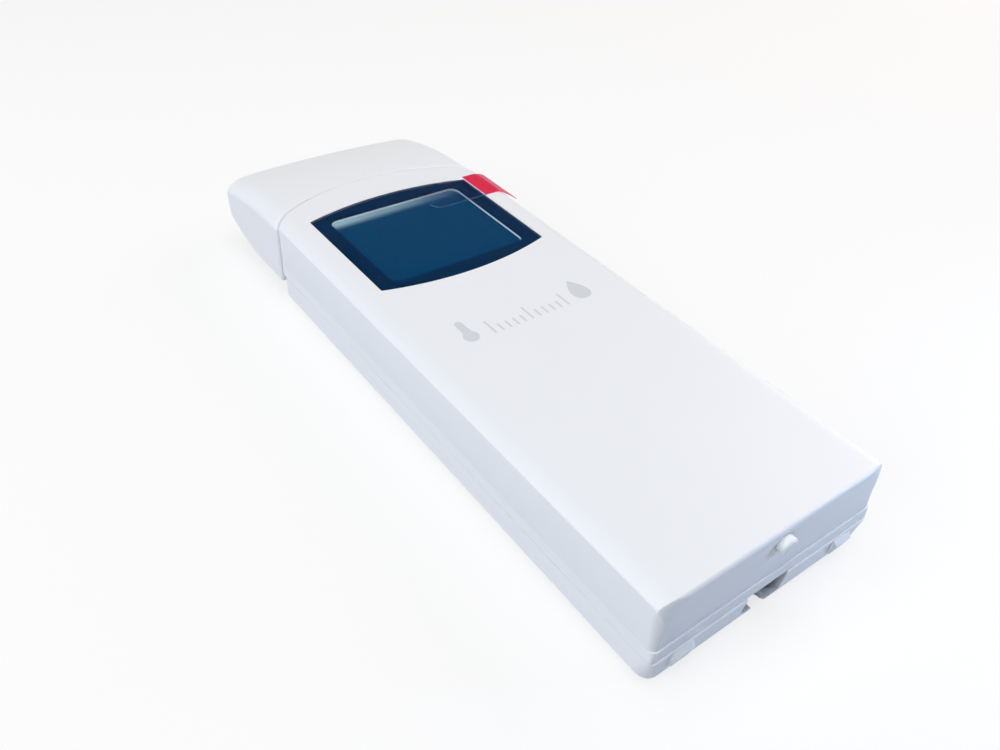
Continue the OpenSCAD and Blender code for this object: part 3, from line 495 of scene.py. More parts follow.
def shade(tree, place, rgb, size, amount):
    """Colour that drifts up and down by an amount over patches of a size."""
    drift = varied(tree, place, size, 1 - amount, 1 + amount, detail=3.0)
    return add(
        tree, "ShaderNodeMix", {"Factor": 1.0, 6: (*rgb, 1), 7: drift},
        data_type="RGBA", blend_type="MULTIPLY",
    ).outputs[2]


def grain(tree, place, size, depth):
    """Bump of grains of a size and a depth."""
    pattern = add(tree, "ShaderNodeTexNoise", {"Vector": place, "Scale": 1 / size, "Detail": 2.0})
    height = {"Height": pattern.outputs["Fac"], "Distance": depth, "Strength": 1.0}
    return add(tree, "ShaderNodeBump", height).outputs["Normal"]


def moulded(name, rgb, low, high, grain_mm, depth_mm, drift=0.02, drift_mm=14):
    """Moulded plastic: a faint drift of colour, uneven sheen and the fine grain of the mould."""
    material, tree, place = new_material(name)
    return surfaced(material, {
        "Base Color": shade(tree, place, rgb, drift_mm * MM, drift),
        "Roughness": varied(tree, place, 2.5 * grain_mm * MM, low, high),
        "Normal": grain(tree, place, grain_mm * MM, depth_mm * MM),
        "IOR": 1.53,
    })


def case_plastic(finishes):
    """Moulded ABS, satin: the mould's fine texture makes its highlights wide and soft."""
    return moulded("White ABS, satin moulded", finishes.abs_white, 0.4, 0.5, 0.35, 0.004, drift=0.012)


def rubber():
    """Silicone rubber: dull grey with a faint bloom."""
    return moulded(
        "Grey silicone rubber", linear("#4a4d52"), 0.75, 0.9, 0.25, 0.01, drift=0.08, drift_mm=4
    )


def cream_plastic():
    """Moulded acetal: cream, slightly waxy."""
    return moulded("Cream acetal", linear("#e3dcc8"), 0.35, 0.45, 0.4, 0.003)


def chip_epoxy():
    """Moulded epoxy of chip packages: near black with a fine sand-like skin."""
    return moulded(
        "Black epoxy package", linear("#26272a"), 0.5, 0.65, 0.12, 0.006, drift=0.08, drift_mm=3
    )


def clear_sheet(name, hex_colour, grain_mm, low, high, ior):
    """A clear sheet whose faces reflect little, hence the low index."""
    material, tree, place = new_material(name)
    return surfaced(material, {
        "Base Color": shade(tree, place, linear(hex_colour), 20 * MM, 0.01),
        "Roughness": varied(tree, place, grain_mm * MM, low, high),
        "IOR": ior,
        "Transmission Weight": 1.0,
    })


def tab_film(finishes):
    """PET film, clear where it lies on the window and dyed red from the window's right edge on."""
    material, tree, place = new_material("PET film, clear and dyed red")
    across = add(tree, "ShaderNodeSeparateXYZ", {"Vector": place}).outputs["X"]
    dyed = add(tree, "ShaderNodeMapRange", {
        "Value": across, "From Min": PANE_HIGH.x, "From Max": PANE_HIGH.x + DYE_EDGE,
    }).outputs["Result"]
    red = shade(tree, place, finishes.tab_red, 6 * MM, 0.03)
    tint = add(
        tree, "ShaderNodeMix", {"Factor": dyed, 6: (*linear("#f4f6ff"), 1), 7: red}, data_type="RGBA"
    ).outputs[2]
    return surfaced(material, {
        "Base Color": tint,
        "Roughness": varied(tree, place, 2 * MM, 0.03, 0.08),
        "IOR": 1.03,
        "Transmission Weight": 1.0,
    })


def border_ink(finishes):
    """Screen-printed ink on the back of the pane: it is bonded to the acrylic, so it hardly reflects."""
    material, tree, place = new_material("Navy screen ink")
    return surfaced(material, {
        "Base Color": shade(tree, place, finishes.ink_navy, 8 * MM, 0.06),
        "Roughness": varied(tree, place, 1 * MM, 0.3, 0.4),
        "Specular IOR Level": 0.01,
    })


def display_glass(finishes):
    """Polarised display glass: dark teal, anti-glare, with a painted glow of the pale far wall along that
    edge, strongest on the left, and a painted even glow over all of it.
    """
    material, tree, place = new_material("Display glass, polarised")
    across, along, _ = add(tree, "ShaderNodeSeparateXYZ", {"Vector": place}).outputs
    low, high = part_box("lcd_glass")
    far = high.y - PAINTED_GLOW_END
    inwards = add(tree, "ShaderNodeMapRange", {
        "Value": along, "From Min": far - PAINTED_GLOW_REACH, "From Max": far,
    }, interpolation_type="SMOOTHERSTEP").outputs["Result"]
    leftwards = add(tree, "ShaderNodeMapRange", {
        "Value": across, "From Min": low.x, "From Max": high.x,
        "To Min": PAINTED_GLOW_LEFT, "To Max": PAINTED_GLOW_RIGHT,
    }).outputs["Result"]
    # Painted light: the holder's pale colour is mixed into the glass near the far wall, strong on the
    # left and fading to the right
    painted_glow = add(tree, "ShaderNodeMath", {0: inwards, 1: leftwards}, operation="MULTIPLY").outputs[0]
    blank = shade(tree, place, finishes.display, 12 * MM, 0.05)
    teal = add(
        tree, "ShaderNodeMix", {"Factor": painted_glow, 6: blank, 7: (*finishes.holder, 1)}, data_type="RGBA"
    ).outputs[2]
    return surfaced(material, {
        "Base Color": teal,
        "Roughness": varied(tree, place, 3 * MM, 0.2, 0.26),
        "IOR": 1.52,
        "Specular IOR Level": 0.01,
        # Painted glow: the glass shines by itself, so it stays even where the border shades it
        "Emission Color": teal,
        "Emission Strength": 0.8,
    })


def metal(name, hex_colour, low, high, grain_mm, stretch=1.0):
    """Plated or rolled metal: fine marks, drawn out along one way where it was rolled or turned."""
    material, tree, place = new_material(name)
    scale = {"Vector": place, "Scale": (1, stretch, 1)}
    along = add(tree, "ShaderNodeMapping", scale).outputs["Vector"]
    return surfaced(material, {
        "Base Color": shade(tree, place, linear(hex_colour), 3 * MM, 0.06),
        "Roughness": varied(tree, along, grain_mm * MM, low, high),
        "Normal": grain(tree, along, grain_mm * MM, 0.003 * MM),
        "Metallic": 1.0,
    })


def circuit_board():
    """Glass-fibre board under green solder mask, with copper lines that show as paler green."""
    material, tree, place = new_material("Green solder mask on glass-fibre board")
    lines = add(
        tree, "ShaderNodeTexBrick",
        {"Vector": place, "Color1": (*linear("#1d6a44"), 1), "Color2": (*linear("#237a4e"), 1),
         "Mortar": (*linear("#2f9160"), 1), "Scale": 1 / (6 * MM), "Mortar Size": 0.035,
         "Brick Width": 1.6, "Row Height": 0.42},
        offset=0.37, squash_frequency=3,
    )
    return surfaced(material, {
        "Base Color": lines.outputs["Color"],
        "Roughness": varied(tree, place, 0.8 * MM, 0.25, 0.4),
        "Normal": grain(tree, place, 0.5 * MM, 0.01 * MM),
    })


def pane_end(sizes, x):
    """Half length of the window opening at a distance from its middle line."""
    radius = (PANE_HIGH.x ** 2 + sizes.pane_bow ** 2) / (2 * sizes.pane_bow) + sizes.pane_gap
    x = min(abs(x), PANE_HIGH.x + sizes.pane_gap)
    return (PANE_HIGH.y - PANE_LOW.y) / 2 + sizes.pane_gap - fall(radius, x)


def joint_end(sizes, x, z):
    """Where the case ends at the cap joint, which is bowed and leans back."""
    lean = (SHELL_HIGH.z - z) * math.tan(sizes.joint_lean)
    return SHELL_HIGH.y - fall(sizes.joint_radius, x) - lean


def seam_height(sizes):
    """Height of the upper side of the seam."""
    return SEAM_Z + sizes.seam_rise + sizes.seam_gap


def end_outline(sizes, count):
    """Right border (x, z) of the near end face: drawn in at the sides, with a large upper corner."""
    half, top = SHELL_HIGH.x, SHELL_HIGH.z - sizes.end_edge
    middle_x = half - sizes.end_side - sizes.end_corner
    middle_z = top - sizes.end_rise
    arc = [(middle_x + sizes.end_corner * math.cos(a), middle_z + sizes.end_rise * math.sin(a))
           for a in spread(0, math.pi / 2, count - 1)]
    return [(half - sizes.end_foot, sizes.step_height), *arc]


def end_setback(sizes, rise):
    """How far the near end face stands out of its border at a share of its height."""
    depth = sizes.end_foot + (sizes.end_depth - sizes.end_foot) * min(rise / END_DEEP, 1)
    above = max(rise - END_SHALLOW, 0) / (1 - END_SHALLOW)
    return depth + (sizes.end_depth_top - depth) * above ** 2


def upper_skin(sizes):
    """Top, sides, near end face and far wall of the upper shell, as one sheet."""
    half, top, foot = SHELL_HIGH.x, SHELL_HIGH.z, sizes.step_height
    end_y = sizes.end_y + sizes.step_out
    window_half = PANE_HIGH.x + sizes.pane_gap
    inner = [-sizes.guard_half, *spread(-window_half, window_half, 33), sizes.guard_half]

    def border(side_in, top_in):
        """Right border of a section, from the band up to the flat top."""
        roll = rolled_edge(half - side_in, top - top_in, sizes)
        return [(half - side_in, foot), (half - side_in, sizes.guard_top), *roll]

    def whole(side):
        """A full section from its right border."""
        narrow = min((side[-1][0] - sizes.flat_spare) / sizes.guard_half, 1)
        return [(-x, z) for x, z in side] + [(x * narrow, side[-1][1]) for x in inner] + side[::-1]

    def far_row(side_in, top_in, ahead):
        """A section that follows the cap joint."""
        section = whole(border(side_in, top_in))
        return [(x, joint_end(sizes, x, z) + ahead, z) for x, z in section]

    plain = whole(border(0, 0))
    end = whole(end_outline(sizes, len(border(0, 0))))
    rows = []
    for inset, back in shoulder(8):
        row = []
        for (x, z), (end_x, end_z) in zip(plain, end):
            y = end_y + back * end_setback(sizes, (z - foot) / (top - foot))
            row.append((x + (end_x - x) * inset, y, z + (end_z - z) * inset))
        rows.append(row)
    for side in (-1, 1):
        rows.append([(x, PANE_Y + side * pane_end(sizes, x), z) for x, z in plain])
    rows += [far_row(inset, inset, -back) for inset, back in reversed(rounding(sizes.far_edge, 4))]
    rows += [far_row(sizes.lip_side, sizes.lip_top, ahead) for ahead in (0, sizes.lip_length)]
    bm = lofted_grid(rows)
    rim = edges_where(bm, lambda co: (
        near(co.y, joint_end(sizes, co.x, co.z) + sizes.lip_length) and co.z > sizes.guard_top + WELD
    ))
    for level in (sizes.guard_top, foot):
        rim, corners = extruded(bm, rim)
        for vert in corners:
            vert.co = (vert.co.x, joint_end(sizes, vert.co.x, level) + sizes.lip_length, level)
    weld(bm)
    cut_faces(bm, lambda co: (
        co.y > PANE_HIGH.y and co.z < sizes.guard_top and abs(co.x) < sizes.guard_half
    ))
    cut_window(bm, sizes)
    outline = edges_where(bm, lambda co: near(co.y, end_y))
    sill = bm.edges.new([v for v in bm.verts if near(v.co.y, end_y) and near(v.co.z, foot)])
    fill_around_button(bm, sizes, [*outline, sill])
    face_outwards(bm)
    return bm


def cut_window(bm, sizes):
    """Cuts the window's pocket, its ledge and the viewing opening."""
    window_half = PANE_HIGH.x + sizes.pane_gap

    def in_window(co):
        within = abs(co.x) < window_half and abs(co.y - PANE_Y) < pane_end(sizes, co.x)
        return within and near(co.z, SHELL_HIGH.z)

    def on_window(co):
        within = abs(co.x) < window_half + WELD and abs(co.y - PANE_Y) < pane_end(sizes, 0) + WELD
        return within and near(co.z, SHELL_HIGH.z)

    cut_faces(bm, in_window)
    pocket, corners = extruded(bm, [edge for edge in edges_where(bm, on_window) if edge.is_boundary])
    for vert in corners:
        vert.co.z = sizes.ledge_top
    view = add_rectangle(bm, sizes.view_width, sizes.view_length, (0, PANE_Y, sizes.ledge_top))
    rounded = bmesh.ops.bevel(
        bm, geom=view, offset=sizes.view_corner, segments=8, profile=0.5, affect="VERTICES", material=-1,
    )["verts"]
    opening = list({edge for vert in rounded for edge in vert.link_edges})
    lid = list({face for vert in rounded for face in vert.link_faces})
    bmesh.ops.delete(bm, geom=lid, context="FACES_ONLY")
    bmesh.ops.triangle_fill(bm, edges=pocket + opening, use_beauty=True)
    for vert in extruded(bm, opening)[1]:
        vert.co.z = sizes.ledge_bottom


def fill_around_button(bm, sizes, outline):
    """Fills the near end face, leaving the round hole for the button."""
    place = (0, outline[0].verts[0].co.y, sizes.button_z)
    turn = Matrix.Translation(place) @ Matrix.Rotation(math.pi / 2, 4, "X")
    made = bmesh.ops.create_circle(
        bm, radius=sizes.button_hole, segments=CIRCLE_STEPS, matrix=turn
    )["verts"]
    ring = list({edge for vert in made for edge in vert.link_edges})
    bmesh.ops.triangle_fill(bm, edges=outline + ring, use_beauty=True, normal=(0, -1, 0))


def upright_corner(sizes, z):
    """Radius of the case's upright corners at the near end: sharp at the seam, softer away from it."""
    seam = seam_height(sizes)
    other, share = sizes.base_corner, 1 - z / seam
    if z > seam:
        other, share = sizes.band_corner, (z - seam) / (sizes.step_height - seam)
    return sizes.seam_corner + (other - sizes.seam_corner) * share


def corner_arm(sizes, co):
    """Radius of the near upright corners at a point's height, and the point seen from their middle."""
    radius = upright_corner(sizes, co.z)
    return radius, Vector((abs(co.x) - BASE_HIGH.x + radius, co.y - NEAR_Y - radius))


def band_skin(sizes):
    """The band along the foot of the upper shell, which stands out at the near end."""
    half, foot = SHELL_HIGH.x, seam_height(sizes)
    rounded = rounding(sizes.seam_edge, 3)
    # Each row is an inset at the near end, a height, and the share of the inset that the other sides take
    rows = [(inset, foot + back, 1) for inset, back in rounded]
    rows += [(inset, sizes.step_height - back, 0) for inset, back in reversed(rounded)]
    rows.append((sizes.wall, sizes.step_height, 1))

    def outline(inset, z, share):
        corner = max(upright_corner(sizes, z), inset + sizes.band_least)
        arc = [ring_point(corner - half, sizes.end_y + corner, corner - inset, a)
               for a in spread(math.pi, 1.5 * math.pi, 8)]
        inset *= share
        bow = [(x, joint_end(sizes, x, foot) - inset) for x in spread(half - inset, inset - half, 41)]
        side = [(inset - half, sizes.end_y + sizes.band_side)]
        near_half = side + arc
        ring = near_half + [(-x, y) for x, y in reversed(near_half)] + bow + side
        return [(x, y, z) for x, y in ring]

    bm = lofted_grid([outline(*row) for row in rows])
    weld(bm)
    cut_faces(bm, lambda co: co.y > 0 and abs(co.x) < sizes.guard_half)
    face_outwards(bm)
    return bm


class SENSOR_OT_shells(bpy.types.Operator):
    """Builds the upper shell with its window pocket and its stepped band, and softens the lower shell"""

    bl_idname = "sensor.shells"
    bl_label = "Case shells"

    def execute(self, context):
        sizes = context.scene.sensor_case
        white = case_plastic(context.scene.sensor_finishes)
        skins = {"upper_shell_moulding": upper_skin(sizes), "upper_shell_band": band_skin(sizes)}
        for name, skin in skins.items():
            thicken(add_piece(skin, name, white, "upper_shell"), sizes.wall)
        add_piece(self.lower_shell(sizes), "lower_shell_moulding", white, "lower_shell")
        return {"FINISHED"}

    def lower_shell(self, sizes):
        """The CAD lower shell with its corners, lugs and seam shaped and its outer edges softened."""
        bm = frame_copy("lower_shell")
        lug_faces = [face for face in bm.faces if face.calc_center_median().y < NEAR_Y - WELD]
        lug = list({item for face in lug_faces for item in (face, *face.edges, *face.verts)})
        lug_top = max(vert.co.z for vert in bm.verts if vert.co.y < NEAR_Y - WELD)
        bmesh.ops.translate(bm, verts=only(bmesh.types.BMVert, lug), vec=(-sizes.lug_left, 0, 0))
        bmesh.ops.bisect_plane(
            bm, geom=lug, dist=WELD, plane_co=(0, 0, lug_top - sizes.lug_ramp), plane_no=(0, 0, 1)
        )
        for vert in bm.verts:
            self.reshape(vert.co, sizes, lug_top)
        bm.normal_update()

        def outside(edge):
            if len(edge.link_faces) != 2 or edge.calc_face_angle_signed() < BEVEL_ANGLE:
                return False
            middle = (edge.verts[0].co + edge.verts[1].co) / 2
            radius, arm = corner_arm(sizes, middle)
            turned = arm.x > 0 > arm.y and near(arm.length, radius, CORNER_SLACK)
            plain = middle.y < NEAR_Y + WELD or near(abs(middle.x), BASE_HIGH.x)
            return middle.z < SEAM_Z and (plain or turned)

        round_edges(bm, [edge for edge in bm.edges if outside(edge)], sizes.seam_edge, 3)
        return bm

    def reshape(self, co, sizes, lug_top):
        """Moves one point of the lower shell to where the photographed shape has it."""
        side = math.copysign(1, co.x)
        old = SOLID_CORNER
        out = sizes.seam_out * co.z / SEAM_Z
        ramp_top = seam_height(sizes) - sizes.lug_below
        from_middle = Vector((co.x * side - BASE_HIGH.x + old, co.y - NEAR_Y - old))
        in_corner = min(from_middle.x, -from_middle.y) > -WELD
        new, arm = corner_arm(sizes, co)
        on_lug, on_wall = co.y < NEAR_Y - WELD, co.y < NEAR_Y + WELD
        if in_corner and near(from_middle.length, old, SOLID_CORNER_SLACK):
            co.x = side * (BASE_HIGH.x - new + from_middle.x * new / old)
            co.y = NEAR_Y + new + (new + out) * from_middle.y / old
        elif arm.x > 0 > arm.y > -new and arm.length > new:
            co.x = side * (BASE_HIGH.x - new + arm.x * new / arm.length)
            co.y = NEAR_Y + new + arm.y * new / arm.length
        elif on_lug and near(co.z, lug_top):
            co.y = NEAR_Y - sizes.seam_out - sizes.lug_root
            co.z = ramp_top
        elif on_lug and near(co.z, lug_top - sizes.lug_ramp):
            co.y -= out + sizes.lug_out
            co.z += sizes.lug_rise
        elif on_lug:
            co.y = NEAR_Y - out - (NEAR_Y - co.y) / 2
            co.z -= sizes.lug_drop
        elif on_wall and near(co.z, lug_top):
            co.y -= sizes.seam_out
            co.z = ramp_top
        elif on_wall:
            co.y -= out
        elif abs(co.x) < SLOT_HALF + WELD and co.z < SLOT_ROOF and SLOT_NEAR < co.y < SLOT_FAR:
            co.y -= sizes.slot_short
        if co.y > PANE_HIGH.y:
            lean = (SHELL_HIGH.z - co.z) * math.tan(sizes.joint_lean)
            if near(co.y, SHELL_HIGH.y - fall(SOLID_JOINT, co.x) - lean, JOINT_SLACK):
                co.y = joint_end(sizes, co.x, co.z)
        if near(co.z, SEAM_Z):
            co.z += sizes.seam_rise


class SENSOR_OT_cap(bpy.types.Operator):
    """Builds the hollow pull-off cap with its crown, its rising underside and its rounded nose"""

    bl_idname = "sensor.cap"
    bl_label = "Sensor cap"

    def execute(self, context):
        sizes, case = context.scene.sensor_cap, context.scene.sensor_case
        skin = self.skin(sizes, case)
        white = case_plastic(context.scene.sensor_finishes)
        thicken(add_piece(skin, "sensor_cap_moulding", white, "sensor_cap"), sizes.wall)
        return {"FINISHED"}

    def skin(self, sizes, case):
        """Outer sheet of the cap, open at its rim."""
        half, top, base = CAP_HIGH.x, CAP_HIGH.z, CAP_LOW.z + sizes.base_lift
        nose_radius = (half ** 2 + sizes.nose_bow ** 2) / (2 * sizes.nose_bow)
        inner = spread(-CAP_FLAT, CAP_FLAT, 25)

        def crown(y):
            return top - fall(sizes.crown_radius, max(y - sizes.crown_start, 0))

        def keel(y):
            return base + fall(sizes.keel_radius, max(y - sizes.keel_start, 0))

        def section(side_in, top_in):
            """Points (x, z, share of the crown's height) of a closed section."""
            upper = rolled_edge(half - side_in, -top_in, sizes)
            under = sizes.base_radius
            lower = [ring_point(half - side_in - under, top_in + under, under, a)
                     for a in spread(-math.pi / 2, 0, len(upper))]
            right = [(x, z, 1) for x, z in reversed(upper)]
            crease_z, keel_z = upper[0][1], lower[-1][1]
            right += [(half - side_in, crease_z * s + keel_z * (1 - s), s) for s in (0.75, 0.5, 0.25)]
            right += [(x, z, 0) for x, z in reversed(lower)]
            left = [(-x, z, s) for x, z, s in reversed(right)]
            over = [(upper[-1][0] * part, -top_in, 1) for part in inner]
            below = [(-upper[-1][0] * part, top_in, 0) for part in inner]
            return over + right + below + left + over[:1]

        def rim(x, z):
            bow = fall(case.joint_radius + sizes.gap, x)
            return SHELL_HIGH.y + sizes.gap - bow - (top - z) * math.tan(case.joint_lean)

        def nose(x):
            return CAP_HIGH.y - fall(nose_radius, x)

        # Each row is a section, its share of the way from rim to nose, and its setback at top and sides
        rows = []
        for inset, back in rounding(1, 5):
            edge, side = sizes.rim_top, sizes.rim_side
            rows.append((section(side * inset, edge * inset), 0, edge * back, side * back))
        rows += [(section(0, 0), share, 0, 0) for share in spread(0.12, 0.88, 14)]
        for inset, back in reversed(rounding(1, 7)):
            edge, side = sizes.nose_edge, sizes.nose_side
            rows.append((section(side * inset, edge * inset), 1, -edge * back, -side * back))

        def place(x, z, high, share, top_shift, side_shift):
            y = (1 - share) * rim(x, z + high * top + (1 - high) * base) + share * nose(x)
            turned = clamped((abs(x) / half - CAP_TURN) / CAP_TURN_WIDTH)
            y += top_shift + (side_shift - top_shift) * turned
            return x, y, z + high * crown(y) + (1 - high) * keel(y)

        bm = lofted_grid([[place(*spot, *way) for spot in spots] for spots, *way in rows])
        weld(bm)
        tip = [e for e in bm.edges if e.is_boundary and min(v.co.y for v in e.verts) > sizes.keel_start]
        upright = [e for e in tip if near(e.verts[0].co.x, e.verts[1].co.x, WELD)]
        bridge = bmesh.ops.bridge_loops(bm, edges=[e for e in tip if e not in upright])["edges"]
        bmesh.ops.subdivide_edges(bm, edges=bridge, cuts=3, use_grid_fill=True)
        weld(bm)
        for vert in bm.verts:
            x, y, z = vert.co
            high = (z - keel(y)) / (crown(y) - keel(y))
            forward = clamped(1 - (nose(x) - y) / (BULGE_REACH * sizes.nose_side))
            half_way_up = 4 * high * (1 - high)
            vert.co.y += sizes.nose_bulge * (x / half * forward) ** 2 * half_way_up
        face_outwards(bm)
        return bm


class SENSOR_OT_window(bpy.types.Operator):
    """Lays the clear pane, its printed border and its film with small air gaps between them"""

    bl_idname = "sensor.window"
    bl_label = "Window"

    def execute(self, context):
        finishes = context.scene.sensor_finishes
        gap, lift = context.scene.sensor_case.air_gap, context.scene.sensor_case.border_lift
        # Cast acrylic with an anti-glare coat
        acrylic = clear_sheet("Clear acrylic, anti-glare coated", "#f6fbff", 6, 0.01, 0.03, 1.03)
        ink = border_ink(finishes)
        # Thin PET film that clings to the pane
        film = clear_sheet("Clear PET film", "#fbfdff", 4, 0.02, 0.05, 1.02)
        # The ink runs round the pane's cut edge too, so the pocket's wall doesn't show through it
        layers = (
            ("window_lens", "window_pane", acrylic, ink, lift, 0),
            ("lens_mask", "window_border", ink, ink, lift + gap, lift + gap),
            ("display_film", "window_film", film, film, gap, gap),
        )
        for node, name, material, edge, lift_low, lift_high in layers:
            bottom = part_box(node)[0].z
            bm = frame_copy(node)
            for vert in bm.verts:
                vert.co.z += lift_low if near(vert.co.z, bottom) else lift_high
            for face in bm.faces:
                face.material_index = 1 if stands(face) else 0
            add_piece(bm, name, material, node).data.materials.append(edge)
        return {"FINISHED"}


class SENSOR_OT_pull_tab(bpy.types.Operator):
    """Builds the thin red tab that lies on the film and bends over the long edge"""

    bl_idname = "sensor.pull_tab"
    bl_label = "Pull tab"

    def execute(self, context):
        sizes = context.scene.sensor_tab
        low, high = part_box("film_tab")
        rest_z = high.z - sizes.thickness
        turn, free = sizes.bend, sizes.free
        bend_x = high.x - sizes.bend_radius * math.sin(turn) - free * math.cos(turn)
        arc = [(bend_x + sizes.bend_radius * math.sin(a), rest_z - sizes.bend_radius * (1 - math.cos(a)))
               for a in spread(0, turn, 9)]
        tip = (arc[-1][0] + free * math.cos(turn), arc[-1][1] - free * math.sin(turn))
        start = [low.x + sizes.corner * (1 - math.cos(a)) for a in spread(0, math.pi / 2, 9)]
        path = [(x, rest_z) for x in start + spread(start[-1], bend_x, 9)[1:]] + arc[1:] + [tip]

        def place(x, z, share):
            """A point of the tab, at a share of its width there."""
            rounded = fall(sizes.corner, max(low.x + sizes.corner - x, 0))
            tail = max(1 - (high.x - x) / sizes.tail_width, 0)
            start_y = high.y - sizes.width + rounded - sizes.tail * tail ** 2
            return x, start_y + (high.y - rounded - start_y) * share, z

        bm = lofted_grid([[place(x, z, share) for x, z in path] for share in spread(0, 1, 7)])
        weld(bm)
        bmesh.ops.recalc_face_normals(bm, faces=bm.faces)
        raise_sheet(bm, sizes.thickness)
        for face in bm.faces:
            near_cut = face.normal.y < 0 and stands(face)
            face.material_index = 1 if near_cut and face.calc_center_median().x < PANE_HIGH.x else 0
        piece = add_piece(bm, "pull_tab", tab_film(context.scene.sensor_finishes), "film_tab")
        # Cut edge of PET film: frosted, so it shows as a thin pale line
        piece.data.materials.append(
            moulded("PET film, cut edge", linear("#6f8ca3"), 0.5, 0.6, 0.3, 0.002)
        )
        return {"FINISHED"}


class SENSOR_OT_display(bpy.types.Operator):
    """Finishes the display: holder, glass with its polariser sheet, light guide and contact strips"""

    bl_idname = "sensor.display"
    bl_label = "Display"

    def execute(self, context):
        finishes = context.scene.sensor_finishes
        # Injection-moulded polycarbonate, pale and smooth
        dress("lcd_holder", moulded("Pale polycarbonate", finishes.holder, 0.25, 0.35, 0.4, 0.002))
        dress("lcd_glass", display_glass(finishes))
        self.polariser(context.scene.sensor_case, finishes)
        # Milky acrylic light guide
        milky = moulded("White acrylic diffuser", linear("#f1f0e8"), 0.45, 0.6, 0.3, 0.003)
        dress("lcd_backlight", milky)
        # Conductive silicone rubber, dull, with a slight bloom
        dress("contact_strips", rubber())
        return {"FINISHED"}

    def polariser(self, case, finishes):
        """The polariser sheet on the display glass, inside the holder's opening."""
        middle_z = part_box("lcd_glass")[1].z + case.polariser / 2
        spare = 2 * case.pane_gap
        size = (case.view_width + spare, case.view_length + spare, case.polariser)
        bm = bmesh.new()
        bmesh.ops.create_cube(bm, size=1)
        bmesh.ops.scale(bm, verts=bm.verts, vec=size)
        bmesh.ops.translate(bm, verts=bm.verts, vec=(0, PANE_Y, middle_z))
        upright = [e for e in bm.edges if near(e.calc_length(), case.polariser)]
        round_edges(bm, upright, case.view_corner, 8)
        add_piece(bm, "display_polariser", display_glass(finishes), "lcd_glass")


class SENSOR_OT_button(bpy.types.Operator):
    """Builds the power button and finishes the switch parts behind it"""

    bl_idname = "sensor.button"
    bl_label = "Power button"

    def execute(self, context):
        nub = frame_copy("power_button")
        for vert in nub.verts:
            if vert.co.y < NEAR_Y:
                vert.co.y -= context.scene.sensor_case.nub_out
        white = case_plastic(context.scene.sensor_finishes)
        add_piece(nub, "power_button_nub", white, "power_button")
        dress("switch_plunger", cream_plastic())
        dress("button_switch", chip_epoxy())
        return {"FINISHED"}


class SENSOR_OT_jack(bpy.types.Operator):
    """Finishes the data jack and its spring contacts"""

    bl_idname = "sensor.jack"
    bl_label = "Data jack"

    def execute(self, context):
        # Glass-filled nylon, dark, with a rough skin
        nylon = moulded("Dark glass-filled nylon", linear("#3a3d42"), 0.45, 0.6, 0.2, 0.008, drift=0.06)
        dress("data_jack", nylon)
        # Gold plate on spring wire, warm and bright
        dress("jack_contacts", metal("Gold-plated bronze", "#d8b25c", 0.18, 0.3, 0.3, 0.2))
        return {"FINISHED"}


class SENSOR_OT_boards(bpy.types.Operator):
    """Finishes the circuit boards, the chips on them and the ribbon between them"""

    bl_idname = "sensor.boards"
    bl_label = "Boards"

    def execute(self, context):
        board = circuit_board()
        for node in ("main_board", "switch_board", "sensor_board"):
            dress(node, board)
        for node in ("controller_chip", "sensor_chip"):
            dress(node, chip_epoxy())
        # Tin plate, grey and satin
        dress("board_parts", metal("Tin-plated can", "#c3c5c8", 0.3, 0.45, 0.5, 0.3))
        # Polyimide film, amber and shiny
        film = moulded("Amber polyimide film", linear("#c98a2b"), 0.2, 0.3, 0.5, 0.002, drift=0.05)
        dress("sensor_ribbon", film)
        return {"FINISHED"}


class SENSOR_OT_cell(bpy.types.Operator):
    """Finishes the rechargeable cell, its foam pad, its socket and its leads"""

    bl_idname = "sensor.cell"
    bl_label = "Cell"

    def execute(self, context):
        # Aluminium laminate, pale with a soft sheen
        dress("cell", metal("Laminated foil pouch", "#b9bec4", 0.3, 0.42, 1.2))
        # Closed-cell foam, dark and pitted
        foam = moulded("Dark closed-cell foam", linear("#3b3d40"), 0.85, 0.95, 0.6, 0.08, drift=0.12)
        dress("cell_pad", foam)
        dress("cell_socket", cream_plastic())
        # Wire insulation, soft and even
        wire = moulded("Red wire insulation", linear("#b02a22"), 0.4, 0.5, 0.3, 0.003, drift=0.05)
        dress("cell_leads", wire)
        return {"FINISHED"}


class SENSOR_OT_guard(bpy.types.Operator):
    """Finishes the vented sensor guard and the rubber ring that holds the cap"""

    bl_idname = "sensor.guard"
    bl_label = "Sensor guard"

    def execute(self, context):
        grey = context.scene.sensor_finishes.guard_grey
        # Moulded ABS with a plain tool finish
        dress("sensor_guard", moulded("Light grey ABS", grey, 0.4, 0.52, 0.4, 0.005))
        dress("cap_ring", rubber())
        return {"FINISHED"}


class SENSOR_OT_fasteners(bpy.types.Operator):
    """Finishes the case screws and the board screws"""

    bl_idname = "sensor.fasteners"
    bl_label = "Fasteners"

    def execute(self, context):
        # Zinc plate, pale and slightly dull
        zinc = metal("Zinc-plated steel", "#b6b9bd", 0.25, 0.4, 0.4, 0.3)
        for node in ("case_screws", "board_screws"):
            dress(node, zinc)
        return {"FINISHED"}


